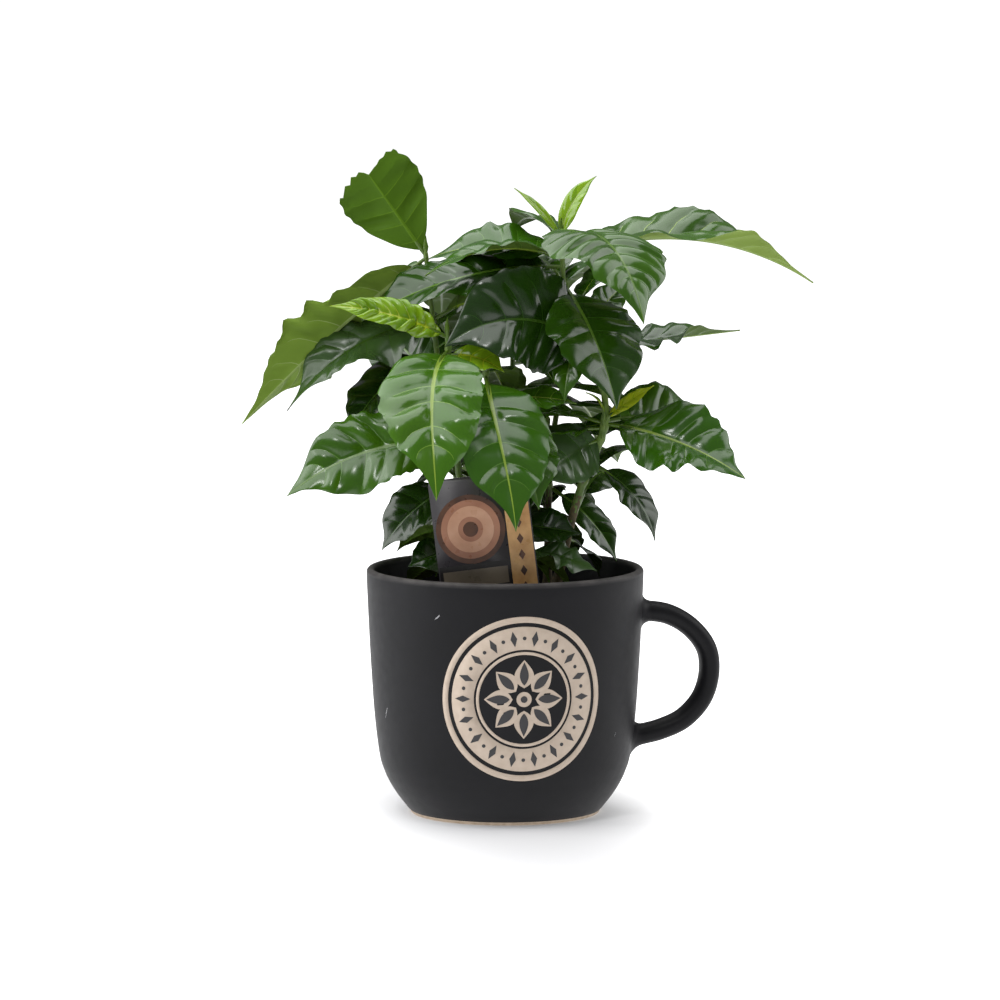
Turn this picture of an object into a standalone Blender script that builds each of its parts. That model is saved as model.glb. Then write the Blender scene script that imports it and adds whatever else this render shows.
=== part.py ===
"""A young coffee plant of six seedlings, potted in a dark stoneware mug.

Each sub-part is one closed solid: the mug's turned body, its handle, the potting soil, a stick-in
label, six bare stems and the leafy shoots above them. Sizes are in millimetres and angles in
degrees. They become metres and radians where a mesh is made. The origin is the middle of the mug's
foot, and +X points at the handle.
"""

import math
import random
from dataclasses import dataclass

import bmesh
import bpy
import numpy as np
from mathutils import Matrix

MM = 0.001
GAP = 0.3  # clearance between neighbouring solids

# Mug: radius and height along its outside, from the foot up to the lip
OUTSIDE = (
    (42.6, 0.0), (42.6, 1.4), (43.6, 1.8), (45.7, 4.4), (48.9, 8.6), (51.8, 13.2), (54.3, 18.4),
    (56.6, 26.0), (58.9, 44.0), (60.5, 67.0), (61.6, 88.0), (62.3, 104.0),
)
MUG_HEIGHT = 111.0
MUG_RADIUS = 62.4
MUG_WALL = 3.6
INNER_CORNER = ((50.4, 17.6), (46.2, 11.2), (40.4, 7.1))  # from the wall down to the floor
FLOOR_RADIUS = 35.5
FLOOR_HEIGHT = 6.0
MUG_SIDES = 48
LIP_STEPS = 6

# Handle: a strap swept along a smooth curve in the plane of +X, wider where it joins the wall
HANDLE_PATH = (
    (52.0, 89.4), (63.0, 90.0), (74.5, 88.2), (84.8, 82.0), (92.0, 72.4),
    (93.3, 61.0), (89.8, 49.6), (81.6, 40.6), (71.2, 35.8), (60.5, 33.2), (50.0, 30.0),
)
HANDLE_THICKNESS = 9.2
HANDLE_DEPTH = 14.5
SECTION_POWER = 0.7  # 1 is an ellipse
HANDLE_FLARE = 0.75  # how much thicker the strap is at the wall
FLARE_LENGTH = 5.0
HANDLE_STATIONS = 28
CURVE_STEPS = 20
HANDLE_SIDES = 12

SOIL_LEVEL = 95.0

# Label: a plate with a pointed foot that is pushed into the soil
LABEL_WIDTH = 44.0
LABEL_THICKNESS = 0.8
LABEL_PIVOT = (-6.6, -31.0, 105.0)
LABEL_ABOVE = 51.0
LABEL_SHOULDER = 20.0
LABEL_BELOW = 45.0
LABEL_POINT_WIDTH = 9.0
LABEL_LEAN = 7.0
LABEL_TILT = 3.0

# Plant. Its own frame is turned from the mug's. In that frame a heading of 0 is +X and 90 is +Y.
PLANT_TURN = -8.0
STEM_SIDES = 6
STEM_STEP = 12.0
STEM_FLARE = 1.5
FLARE_HEIGHT = 5.0
STEM_TOP_RADIUS = 0.9
PETIOLE_SIDES = 3
PETIOLE_RADII = (0.6, 0.95, 0.75, 0.3)
PETIOLE_REACH = (0.0, 0.08, 0.17)  # shares of the blade's length that the petiole runs on into it
LEAF_STEPS = 64  # the midrib's curve is added up in this many steps
LEAF_STATIONS = 9
LEAF_ACROSS = 5
LEAF_THICKNESS = 0.013  # of its length
LEAST_THICKNESS = 0.6
CLOUD_STATIONS = 33
CLOUD_ACROSS = 9
TOUCH = 2.6  # two leaves whose points come this near would touch
NEAR_NODE = 0.3  # leaves of one stem may meet over this share of their length
SEED = 11

# Colours, linear
CHARCOAL = (0.028, 0.028, 0.033)
PEAT = (0.035, 0.022, 0.014)
CARD = (0.10, 0.08, 0.07)
BARK = (0.12, 0.10, 0.03)
LEAF_GREEN = (0.03, 0.13, 0.02)
GUIDE_WHITE = (1.0, 1.0, 1.0)


@dataclass(frozen=True)
class Leaf:
    """One leaf. Its direction falls from rise by droop, and turns from heading by sweep, up to its tip."""

    height: float
    heading: float
    length: float
    width: float
    rise: float
    droop: float
    sweep: float = 0.0
    roll: float = 0.0
    twist: float = 0.0
    fold: float = 12.0
    petiole: float = 7.0
    base_power: float = 0.75
    tip_power: float = 1.05
    young: bool = False  # a growing leaf, whose partner is not grown by the rule


@dataclass(frozen=True)
class Seedling:
    """A stem from the soil to its growing tip.

    tiers are the heights at which its shoots start, leaves are set one by one, and pairs are the
    height and heading of further nodes, whose leaves the seeded rule grows.
    """

    name: str
    path: tuple
    foot_radius: float
    tiers: tuple
    leaves: tuple
    pairs: tuple = ()

    @property
    def top(self):
        return self.path[-1][2]


SEEDLINGS = (
    Seedling(
        "tall", ((21, -4, 95), (34, -3, 147), (45, -1, 178), (40, 2, 206), (29, 6, 227), (25, 8, 261)), 2.3,
        (124, 190, 245),
        (
            Leaf(259, 185, 29, 6, 56, 20, roll=-40, petiole=2, young=True),
            Leaf(259, -8, 31, 10, 80, 42, roll=60, petiole=2, young=True),
            Leaf(257, -64, 90, 54, 20, 88, roll=-4, fold=4),
            Leaf(251, 158, 60, 34, 12, 34, roll=-24),
            Leaf(250, 12, 115, 44, 18, 52, roll=6, fold=26),
            Leaf(246, 184, 88, 42, 0, 32, roll=-26),
            Leaf(203, 214, 74, 50, 46, 87, sweep=-30, roll=-66, petiole=9),
            Leaf(238, -60, 64, 46, -35, 30),
            Leaf(178, -10, 25, 9, 38, 6, roll=40, petiole=2, young=True),
            Leaf(178, 176, 14, 5, 84, 70, petiole=2, young=True),
            Leaf(176, -20, 64, 44, -7, 26, roll=34),
            Leaf(177, 26, 52, 42, 6, 34, roll=34),
            Leaf(174, 178, 32, 28, -4, 20, roll=-8),
            Leaf(169, 200, 34, 32, -20, 20, roll=-60, petiole=2),
            Leaf(158, -12, 40, 24, -28, 50, roll=20),
        ),
        ((236, 90), (218, 20), (192, 90), (150, 80)),
    ),
    Seedling(
        "left_back", ((-12, 17, 95), (-30, 19, 200), (-36, 20, 252)), 2.0, (150,),
        (
            Leaf(250, 180, 47, 40, 55, 0, roll=84, petiole=3, base_power=0.9, tip_power=0.4),
            Leaf(249, 186, 105, 46, -37, 10, roll=45),
            Leaf(221, 196, 74, 42, -10, 44, roll=-24, base_power=0.6, tip_power=1.4),
            Leaf(204, 200, 50, 36, -18, 50, roll=-20),
        ),
        ((234, 84), (214, 100), (190, 30), (168, 100)),
    ),
    Seedling(
        "left_front", ((-15, -6, 95), (-23, -12, 180), (-26, -14, 218)), 2.0, (116,),
        (
            Leaf(216, 192, 53, 20, 27, 24, roll=-42, petiole=3, young=True),
            Leaf(208, -20, 26, 18, 4, 40, roll=30, petiole=2, young=True),
            Leaf(210, -105, 88, 48, -12, 66, sweep=30),
            Leaf(169, 188, 75, 40, 2, 42, roll=-54, fold=6),
            Leaf(150, 186, 40, 28, -25, 36, roll=-40),
            Leaf(120, 200, 24, 20, -6, 20, roll=-40, petiole=5),
        ),
        ((190, 100), (138, 80)),
    ),
    Seedling(
        "front", ((4, -13, 95), (-4, -15, 160), (-9, -17, 202)), 2.0, (114,),
        (
            Leaf(199, -84, 80, 46, -26, 52, sweep=24),
            Leaf(190, -58, 58, 38, -30, 40),
            Leaf(188, 8, 28, 16, 4, 20, roll=30, petiole=12),
            Leaf(132, 4, 28, 22, -4, 10, roll=40),
            Leaf(121, -20, 32, 20, -4, 20, roll=20, petiole=12),
        ),
        ((172, 100), (150, 100)),
    ),
    Seedling(
        "back", ((2, 26, 95), (4, 34, 238)), 2.0, (140,),
        (),
        ((236, 100), (222, 10), (206, 100), (188, 20), (170, 100), (152, 10), (145, 100)),
    ),
    Seedling(
        "right_back", ((19, 22, 95), (22, 22, 170), (32, 26, 218)), 2.0, (130,),
        (
            Leaf(207, 6, 71, 34, 6, 0, fold=14),
            Leaf(145, -15, 40, 20, -32, 34, roll=30),
        ),
        ((216, 80), (198, 160), (182, 70), (166, 150), (150, 60), (132, 80)),
    ),
)
RULE_LENGTH = (66.0, 96.0)
RULE_WIDTH_SHARE = (0.42, 0.48)
RULE_RISE = (0.0, 34.0)
RULE_DROOP = (44.0, 84.0)
RULE_TRIES = 40
RULE_SHRINK = 0.4  # how much shorter the last try is than the first
CROWN_LEFT = (
    (104, 48), (150, 52), (160, 74), (178, 82), (190, 62), (205, 76), (232, 80), (248, 56), (262, 20),
)  # height and reach to each side
CROWN_RIGHT = (
    (104, 46), (142, 46), (152, 60), (166, 86), (184, 82), (193, 56), (236, 56), (250, 66), (262, 28),
)
CROWN_DEPTH = 98.0
CROWN_FRONT = -22.0
CROWN_SLANT = 0.12  # the crown's sides lie lower at the back by this share of the distance
RIM_CLEARANCE = 5.0
SOIL_CLEARANCE = 4.0
YOUNG_REACH = 25.0  # leaves this near the growing tip are smaller
YOUNG_SHARE = 0.7


def frame_along(leaf):
    """Directions along the midrib, and the blade's side and normal there, at LEAF_STEPS + 1 places."""
    share = np.linspace(0.0, 1.0, LEAF_STEPS + 1)
    pitch = np.radians(leaf.rise - leaf.droop * share)
    turn = np.radians(leaf.heading + leaf.sweep * share)
    roll = np.radians(leaf.roll + leaf.twist * share)[:, None]
    ahead = np.stack((np.cos(pitch) * np.cos(turn), np.cos(pitch) * np.sin(turn), np.sin(pitch)), axis=1)
    level = np.stack((-np.sin(turn), np.cos(turn), np.zeros_like(turn)), axis=1)
    up = np.cross(ahead, level)
    side = level * np.cos(roll) + up * np.sin(roll)
    normal = up * np.cos(roll) - level * np.sin(roll)
    return ahead, side, normal


def outline(leaf, share):
    """Half width of the blade at a share of its length, from 0 at the base to 0 at the tip."""
    widest = leaf.base_power / (leaf.base_power + leaf.tip_power)
    rising = (share / widest) ** leaf.base_power
    falling = ((1.0 - share) / (1.0 - widest)) ** leaf.tip_power
    return 0.5 * leaf.width * rising * falling


def blade(leaf, node, stations, across):
    """The blade's middle surface and its normals, as arrays of stations by across by 3."""
    ahead, side, normal = frame_along(leaf)
    step = leaf.length / LEAF_STEPS
    travel = np.concatenate((np.zeros((1, 3)), np.cumsum((ahead[1:] + ahead[:-1]) * 0.5 * step, axis=0)))
    midrib = np.asarray(node, float) + ahead[0] * leaf.petiole + travel
    picked = np.linspace(0, LEAF_STEPS, stations).round().astype(int)
    half = outline(leaf, picked / LEAF_STEPS)[:, None, None]
    place = np.linspace(-1.0, 1.0, across)[None, :, None]
    fold = math.radians(leaf.fold)
    points = (
        midrib[picked][:, None]
        + side[picked][:, None] * place * half * math.cos(fold)
        + normal[picked][:, None] * np.abs(place) * half * math.sin(fold)
    )
    tilt = -np.sign(place) * math.sin(fold) * side[picked][:, None]
    facing = normal[picked][:, None] * np.where(place == 0.0, 1.0, math.cos(fold)) + tilt
    return points, facing, midrib[picked]


def stem_point(seedling, height):
    """The middle of the stem at a height above the mug's foot, on a smooth curve through its path."""
    path = np.array(seedling.path, float)
    slopes = np.gradient(path[:, :2], path[:, 2], axis=0)
    span = int(np.clip(np.searchsorted(path[:, 2], height) - 1, 0, len(path) - 2))
    low, high = path[span], path[span + 1]
    run = high[2] - low[2]
    share = (height - low[2]) / run
    ease = share * share * (3.0 - 2.0 * share)
    leave = share * (1.0 - share) ** 2 * run
    arrive = share * share * (share - 1.0) * run
    x, y = low[:2] + (high - low)[:2] * ease + slopes[span] * leave + slopes[span + 1] * arrive
    return np.array((x, y, height))


def stem_radius(seedling, height):
    """Tapers to the tip, with a flare at the root."""
    share = (height - SOIL_LEVEL) / (seedling.top - SOIL_LEVEL)
    flare = STEM_FLARE * math.exp(-(height - SOIL_LEVEL) / FLARE_HEIGHT)
    return seedling.foot_radius + (STEM_TOP_RADIUS - seedling.foot_radius) * share + flare


def cloud(leaf, seedling):
    """Points spread over a leaf's blade, with their share of the way to its tip."""
    points, _, _ = blade(leaf, stem_point(seedling, leaf.height), CLOUD_STATIONS, CLOUD_ACROSS)
    share = np.repeat(np.linspace(0.0, 1.0, CLOUD_STATIONS), CLOUD_ACROSS)
    return points.reshape(-1, 3), share


def in_space(points):
    """Whether a leaf keeps inside the crown, and above the mug's rim where it passes over it."""
    x, y, z = points.T
    level = z + CROWN_SLANT * y
    left = np.interp(level, *zip(*CROWN_LEFT))
    right = np.interp(level, *zip(*CROWN_RIGHT))
    in_mug = np.hypot(x, y) < MUG_RADIUS - MUG_WALL - RIM_CLEARANCE
    over_rim = (z > MUG_HEIGHT + RIM_CLEARANCE) | (in_mug & (z > SOIL_LEVEL + SOIL_CLEARANCE))
    inside = (x > -left) & (x < right) & (y > CROWN_FRONT) & (y < CROWN_DEPTH) & over_rim
    return bool(np.all(inside))


def clears(points, share, seedling, placed):
    """Whether a leaf stays clear of the placed ones. Leaves of one stem may meet near it."""
    outer = share > NEAR_NODE
    for other, other_points, other_share in placed:
        mine, theirs = points, other_points
        if other is seedling:
            mine, theirs = points[outer], other_points[other_share > NEAR_NODE]
        if len(theirs) == 0:
            continue
        low, high = theirs.min(axis=0) - TOUCH, theirs.max(axis=0) + TOUCH
        close = mine[np.all((mine > low) & (mine < high), axis=1)]
        if len(close) == 0:
            continue
        distance = np.linalg.norm(close[:, None] - theirs[None], axis=2)
        if distance.min() < TOUCH:
            return False
    return True


def stem_cloud(seedling):
    """Points along a stem, all of which count as its node."""
    heights = np.arange(SOIL_LEVEL, seedling.top, 2.0)
    return np.array([stem_point(seedling, height) for height in heights]), np.zeros(len(heights))


def label_frame():
    """The label's turn and its pivot, which lies in its plane at the height of the rim."""
    tilt = Matrix.Rotation(math.radians(-LABEL_TILT), 3, "X")
    lean = Matrix.Rotation(math.radians(-LABEL_LEAN), 3, "Y")
    return np.array(tilt @ lean), np.array(LABEL_PIVOT)


def label_cloud():
    """Points over the label's face above the soil."""
    turn, pivot = label_frame()
    across = np.linspace(-0.5, 0.5, 12) * LABEL_WIDTH
    up = np.linspace(SOIL_LEVEL - LABEL_PIVOT[2], LABEL_ABOVE, 18)
    flat = np.array([(x, 0.0, z) for x in across for z in up])
    return flat @ turn.T + pivot, np.ones(len(flat))


def ruled_leaf(rng, height, heading, length_share):
    """One leaf of the seeded rule."""
    length = rng.uniform(*RULE_LENGTH) * length_share
    return Leaf(
        height,
        heading + rng.uniform(-22, 22),
        length,
        length * rng.uniform(*RULE_WIDTH_SHARE),
        rng.uniform(*RULE_RISE),
        rng.uniform(*RULE_DROOP),
        sweep=rng.uniform(-14, 14),
        roll=rng.uniform(-18, 18),
        fold=rng.uniform(8, 20),
    )


def grow():
    """All leaves by seedling: those that are set, then the ruled pairs and each set leaf's partner."""
    rng = random.Random(SEED)
    grown = {seedling.name: list(seedling.leaves) for seedling in SEEDLINGS}
    placed = [(None, *label_cloud())] + [(seedling, *stem_cloud(seedling)) for seedling in SEEDLINGS]
    for seedling in SEEDLINGS:
        placed += [(seedling, *cloud(leaf, seedling)) for leaf in seedling.leaves]
    for seedling in SEEDLINGS:
        wanted = [(height, heading + half) for height, heading in seedling.pairs for half in (0, 180)]
        wanted += [(leaf.height, leaf.heading + 180) for leaf in seedling.leaves if not leaf.young]
        for height, heading in wanted:
            share = YOUNG_SHARE + (1.0 - YOUNG_SHARE) * min(1.0, (seedling.top - height) / YOUNG_REACH)
            for attempt in range(RULE_TRIES):
                shorter = 1.0 - RULE_SHRINK * attempt / RULE_TRIES
                leaf = ruled_leaf(rng, height, heading, share * shorter)
                points, along = cloud(leaf, seedling)
                if in_space(points) and clears(points, along, seedling, placed):
                    grown[seedling.name].append(leaf)
                    placed.append((seedling, points, along))
                    break
    return grown


def mesh_object(name, points, faces, colour, roughness, smooth_angle=None):
    """An object from points in millimetres, with a material of its own."""
    mesh = bpy.data.meshes.new(name)
    mesh.from_pydata([tuple(float(value) * MM for value in point) for point in points], [], faces)
    mesh.validate()
    work = bmesh.new()
    work.from_mesh(mesh)
    bmesh.ops.recalc_face_normals(work, faces=work.faces)
    work.to_mesh(mesh)
    work.free()
    if smooth_angle is not None:
        mesh.shade_smooth()
        mesh.set_sharp_from_angle(angle=math.radians(smooth_angle))
    material = bpy.data.materials.new(name)
    material.use_nodes = True
    shader = material.node_tree.nodes["Principled BSDF"]
    shader.inputs["Base Color"].default_value = (*colour, 1.0)
    shader.inputs["Roughness"].default_value = roughness
    mesh.materials.append(material)
    made = bpy.data.objects.new(name, mesh)
    bpy.context.scene.collection.objects.link(made)
    return made


def as_guide(made):
    """Marks an object as a cutter, which is no part of the model."""
    made.hide_render = True
    made.display_type = "WIRE"


def cut(made, cutter):
    """Takes the cutter's shape away from an object."""
    modifier = made.modifiers.new("cut", "BOOLEAN")
    modifier.operation = "DIFFERENCE"
    modifier.object = cutter
    as_guide(cutter)


def skin(rings):
    """Points and faces of a closed tube over rings of equal length. A ring of one point is a tip."""
    points, faces, starts = [], [], []
    for ring in rings:
        starts.append(len(points))
        points.extend(ring)
    for index in range(len(rings) - 1):
        low, high = starts[index], starts[index + 1]
        low_count, high_count = len(rings[index]), len(rings[index + 1])
        for side in range(max(low_count, high_count)):
            after = side + 1
            corners = [low + side % low_count, low + after % low_count]
            corners += [high + after % high_count, high + side % high_count]
            faces.append(tuple(dict.fromkeys(corners)))
    if len(rings[0]) > 1:
        faces.append(tuple(reversed(range(len(rings[0])))))
    if len(rings[-1]) > 1:
        faces.append(tuple(range(starts[-1], starts[-1] + len(rings[-1]))))
    return points, faces


def turned(name, profile, colour, roughness, smooth_angle=30):
    """A solid of revolution about Z. Its profile starts and ends on the axis."""
    angles = [2.0 * math.pi * side / MUG_SIDES for side in range(MUG_SIDES)]
    rings = []
    for radius, height in profile:
        ring = [(radius * math.cos(angle), radius * math.sin(angle), height) for angle in angles]
        rings.append(ring if radius > 0.0 else ring[:1])
    points, faces = skin(rings)
    return mesh_object(name, points, faces, colour, roughness, smooth_angle)


def outer_radius(height):
    """The mug's outer radius at a height."""
    return float(np.interp(height, [level for _, level in OUTSIDE], [radius for radius, _ in OUTSIDE]))


def inside_profile():
    """Radius and height down the inside of the mug, from below the lip to the edge of the floor."""
    wall = [(radius - MUG_WALL, height) for radius, height in OUTSIDE if height > 20.0]
    return [*wall[::-1], *INNER_CORNER]


def build_mug():
    """The turned body, with a flat foot and a rounded lip."""
    middle = MUG_RADIUS - MUG_WALL / 2
    centre = MUG_HEIGHT - MUG_WALL / 2
    reach = MUG_WALL / 2
    angles = [math.pi * step / LIP_STEPS for step in range(LIP_STEPS + 1)]
    lip = [(middle + reach * math.cos(angle), centre + reach * math.sin(angle)) for angle in angles]
    floor = [(FLOOR_RADIUS, FLOOR_HEIGHT), (0.0, FLOOR_HEIGHT)]
    profile = [(0.0, 0.0), *OUTSIDE, *lip, *inside_profile(), *floor]
    turned("mug_body", profile, CHARCOAL, 0.55)


def smooth_path(route, count):
    """Evenly spread places on a smooth curve through the route's points."""
    route = np.array(route, float)
    ends = np.vstack((2 * route[0] - route[1], route, 2 * route[-1] - route[-2]))
    fine = []
    for index in range(len(route) - 1):
        before, start, end, after = ends[index : index + 4]
        bend = 2 * before - 5 * start + 4 * end - after
        twist = 3 * start - before - 3 * end + after
        for share in np.linspace(0.0, 1.0, CURVE_STEPS, endpoint=False):
            fine.append(start + 0.5 * ((end - before) * share + bend * share**2 + twist * share**3))
    fine.append(route[-1])
    fine = np.array(fine)
    travel = np.concatenate(([0.0], np.cumsum(np.linalg.norm(np.diff(fine, axis=0), axis=1))))
    wanted = np.linspace(0.0, travel[-1], count)
    return np.stack([np.interp(wanted, travel, fine[:, axis]) for axis in range(fine.shape[1])], axis=1)


def squared(share):
    """Pulls a circle's sine or cosine out towards a rounded square."""
    return math.copysign(abs(share) ** SECTION_POWER, share)


def build_handle():
    """The strap, cut clear of the wall."""
    path = smooth_path(HANDLE_PATH, HANDLE_STATIONS)
    ahead = np.gradient(path, axis=0)
    ahead /= np.linalg.norm(ahead, axis=1)[:, None]
    rings = []
    for (x, z), (along_x, along_z) in zip(path, ahead):
        flare = 1.0 + HANDLE_FLARE * math.exp(-max(x - outer_radius(z), 0.0) / FLARE_LENGTH)
        ring = []
        for side in range(HANDLE_SIDES):
            angle = 2.0 * math.pi * (side + 0.5) / HANDLE_SIDES
            out = squared(math.cos(angle)) * HANDLE_THICKNESS / 2 * flare
            wide = squared(math.sin(angle)) * HANDLE_DEPTH / 2 * math.sqrt(flare)
            ring.append((x - along_z * out, wide, z + along_x * out))
        rings.append(ring)
    points, faces = skin(rings)
    handle = mesh_object("mug_handle", points, faces, CHARCOAL, 0.55, 40)
    clearance = [(radius + GAP, height) for radius, height in OUTSIDE[2:]]
    core = [(0.0, 1.8), *clearance, (MUG_RADIUS + GAP, MUG_HEIGHT + 5.0), (0.0, MUG_HEIGHT + 5.0)]
    cut(handle, turned("mug_clearance_cutter", core, GUIDE_WHITE, 0.5))


def label_outline(grow):
    """Corners of the label about its pivot: a plate with a pointed foot."""
    half, point = LABEL_WIDTH / 2 + grow, LABEL_POINT_WIDTH / 2 + grow
    return (
        (-half, LABEL_ABOVE + grow), (-half, -LABEL_SHOULDER), (-point, -LABEL_BELOW - grow),
        (point, -LABEL_BELOW - grow), (half, -LABEL_SHOULDER), (half, LABEL_ABOVE + grow),
    )


def label_plate(name, grow, colour):
    """The label's plate, thicker all round by grow."""
    turn, pivot = label_frame()
    rings = []
    for y in (-LABEL_THICKNESS / 2 - grow, LABEL_THICKNESS / 2 + grow):
        rings.append([turn @ np.array((x, y, z)) + pivot for x, z in label_outline(grow)])
    points, faces = skin(rings)
    return mesh_object(name, in_world(points), faces, colour, 0.35)


def build_soil_and_label():
    """Soil that fills the mug, with a slot for the label."""
    wall = [(radius - GAP, height) for radius, height in inside_profile() if height < SOIL_LEVEL]
    floor = [(0.0, FLOOR_HEIGHT + GAP), (FLOOR_RADIUS - GAP, FLOOR_HEIGHT + GAP)]
    surface = [(outer_radius(SOIL_LEVEL) - MUG_WALL - GAP, SOIL_LEVEL), (0.0, SOIL_LEVEL)]
    soil = turned("potting_soil", [*floor, *wall[::-1], *surface], PEAT, 0.95)
    label_plate("plant_label", 0.0, CARD)
    cut(soil, label_plate("label_slot_cutter", GAP, GUIDE_WHITE))


def in_world(points):
    """Turns points of the plant's frame into the mug's."""
    angle = math.radians(PLANT_TURN)
    cosine, sine = math.cos(angle), math.sin(angle)
    return [(x * cosine - y * sine, x * sine + y * cosine, z) for x, y, z in points]


def stem_piece(seedling, low, high):
    """Points and faces of the stem between two heights, with flat ends."""
    count = max(2, round((high - low) / STEM_STEP) + 1)
    angles = [2.0 * math.pi * side / STEM_SIDES for side in range(STEM_SIDES)]
    rings = []
    for height in np.linspace(low, high, count):
        middle, radius = stem_point(seedling, height), stem_radius(seedling, height)
        rings.append([middle + (radius * math.cos(a), radius * math.sin(a), 0.0) for a in angles])
    return skin(rings)


def blade_solid(leaf, node):
    """Points and faces of a blade that is thickest at its midrib and closes to its edges and ends."""
    points, facing, _ = blade(leaf, node, LEAF_STATIONS, LEAF_ACROSS)
    thickness = max(LEAST_THICKNESS, leaf.length * LEAF_THICKNESS)
    lift = 0.5 * thickness * (1.0 - np.linspace(-1.0, 1.0, LEAF_ACROSS) ** 2)[None, :, None]
    upper, lower = points + facing * lift, points - facing * lift
    rings = [[points[0, 0]]]
    for station in range(1, LEAF_STATIONS - 1):
        rings.append([*upper[station], *lower[station, -2:0:-1]])
    rings.append([points[-1, 0]])
    return skin(rings)


def petiole_solid(leaf, node):
    """Points and faces of the leaf's stalk, from inside the stem to inside the blade."""
    _, _, midrib = blade(leaf, node, LEAF_STEPS + 1, 3)
    _, side, normal = frame_along(leaf)
    places = [node] + [midrib[round(share * LEAF_STEPS)] for share in PETIOLE_REACH]
    scale = min(1.0, 0.5 + leaf.length / 100.0)
    angles = [2.0 * math.pi * corner / PETIOLE_SIDES - math.pi / 2 for corner in range(PETIOLE_SIDES)]
    corners = [side[0] * math.cos(angle) + normal[0] * math.sin(angle) for angle in angles]
    radii = [scale * radius for radius in PETIOLE_RADII]
    return skin([[place + radius * corner for corner in corners] for place, radius in zip(places, radii)])


def joined(base, pieces):
    """Fuses the pieces onto the base by one union, and removes them."""
    group = bpy.data.collections.new(base.name + "_pieces")
    bpy.context.scene.collection.children.link(group)
    for piece in pieces:
        bpy.context.scene.collection.objects.unlink(piece)
        group.objects.link(piece)
    modifier = base.modifiers.new("join", "BOOLEAN")
    modifier.operation = "UNION"
    modifier.operand_type = "COLLECTION"
    modifier.collection = group
    modifier.solver = "EXACT"
    bpy.context.view_layer.update()
    evaluated = base.evaluated_get(bpy.context.evaluated_depsgraph_get())
    whole = bpy.data.meshes.new_from_object(evaluated)
    base.modifiers.clear()
    base.data = whole
    for piece in pieces:
        bpy.data.objects.remove(piece, do_unlink=True)
    bpy.data.collections.remove(group)


def build_shoot(seedling, leaves, name, low, high):
    """One mass of foliage: a length of stem with its stalks and leaves fused on."""
    points, faces = stem_piece(seedling, low, high)
    stem = mesh_object(name, in_world(points), faces, LEAF_GREEN, 0.35)
    pieces = []
    for index, leaf in enumerate(leaves):
        node = stem_point(seedling, leaf.height)
        for kind, shape in (("blade", blade_solid), ("stalk", petiole_solid)):
            points, faces = shape(leaf, node)
            pieces.append(mesh_object(f"{name}_{kind}_{index}", in_world(points), faces, LEAF_GREEN, 0.35))
    joined(stem, pieces)


def build_plant():
    """Each seedling's bare stem and its shoots, tier by tier."""
    for name, leaves in grow().items():
        seedling = next(one for one in SEEDLINGS if one.name == name)
        points, faces = stem_piece(seedling, SOIL_LEVEL + GAP, seedling.tiers[0] - GAP)
        mesh_object(f"{name}_stem", in_world(points), faces, BARK, 0.6, 50)
        tops = [*seedling.tiers[1:], seedling.top + GAP]
        for tier, (low, high) in enumerate(zip(seedling.tiers, tops), 1):
            own = [leaf for leaf in leaves if low < leaf.height < high]
            build_shoot(seedling, own, f"{name}_leaves_{tier}", low, high - GAP)


def main():
    """Clears the scene and builds every sub-part."""
    for old in list(bpy.data.objects):
        bpy.data.objects.remove(old, do_unlink=True)
    build_mug()
    build_handle()
    build_soil_and_label()
    build_plant()


if __name__ == "__main__":
    main()
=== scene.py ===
"""A young coffee plant of six seedlings in a dark stoneware mug: its fine shapes and finishes.

Sizes are in millimetres and angles in degrees until a mesh is made. Every piece stands in the
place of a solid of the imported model, or lies on one.
"""

import sys

import logging
import math
import random
from collections.abc import Callable, Iterable, Sequence
from dataclasses import dataclass, field
from enum import Enum
from functools import cached_property
from typing import ClassVar

import bpy
import numpy as np
from mathutils import Matrix, Vector

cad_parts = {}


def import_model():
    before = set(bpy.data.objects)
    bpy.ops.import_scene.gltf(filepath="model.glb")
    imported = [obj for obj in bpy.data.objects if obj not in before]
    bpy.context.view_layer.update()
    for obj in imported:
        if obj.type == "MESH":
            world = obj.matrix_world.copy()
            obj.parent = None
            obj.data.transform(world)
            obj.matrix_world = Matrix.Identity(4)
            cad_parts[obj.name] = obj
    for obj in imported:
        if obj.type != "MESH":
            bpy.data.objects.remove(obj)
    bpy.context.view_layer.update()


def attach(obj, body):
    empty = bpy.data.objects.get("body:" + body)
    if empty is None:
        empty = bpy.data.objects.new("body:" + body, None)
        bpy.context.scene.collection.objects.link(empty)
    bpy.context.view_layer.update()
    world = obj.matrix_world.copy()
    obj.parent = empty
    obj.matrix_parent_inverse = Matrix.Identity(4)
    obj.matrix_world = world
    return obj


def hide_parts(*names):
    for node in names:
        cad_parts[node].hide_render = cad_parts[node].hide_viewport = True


LOG = logging.getLogger("coffee_plant")
MM = 0.001
BODY = "root"
Colour = tuple[float, float, float, float]
Socket = bpy.types.NodeSocket


def tone(red: int, green: int, blue: int) -> Colour:
    """Turns screen values from 0 to 255 into a linear colour."""
    shares = [value / 255.0 for value in (red, green, blue)]
    linear = [
        share / 12.92 if share <= 0.04045 else ((share + 0.055) / 1.055) ** 2.4 for share in shares
    ]
    return (*linear, 1.0)


# Node trees


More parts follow.
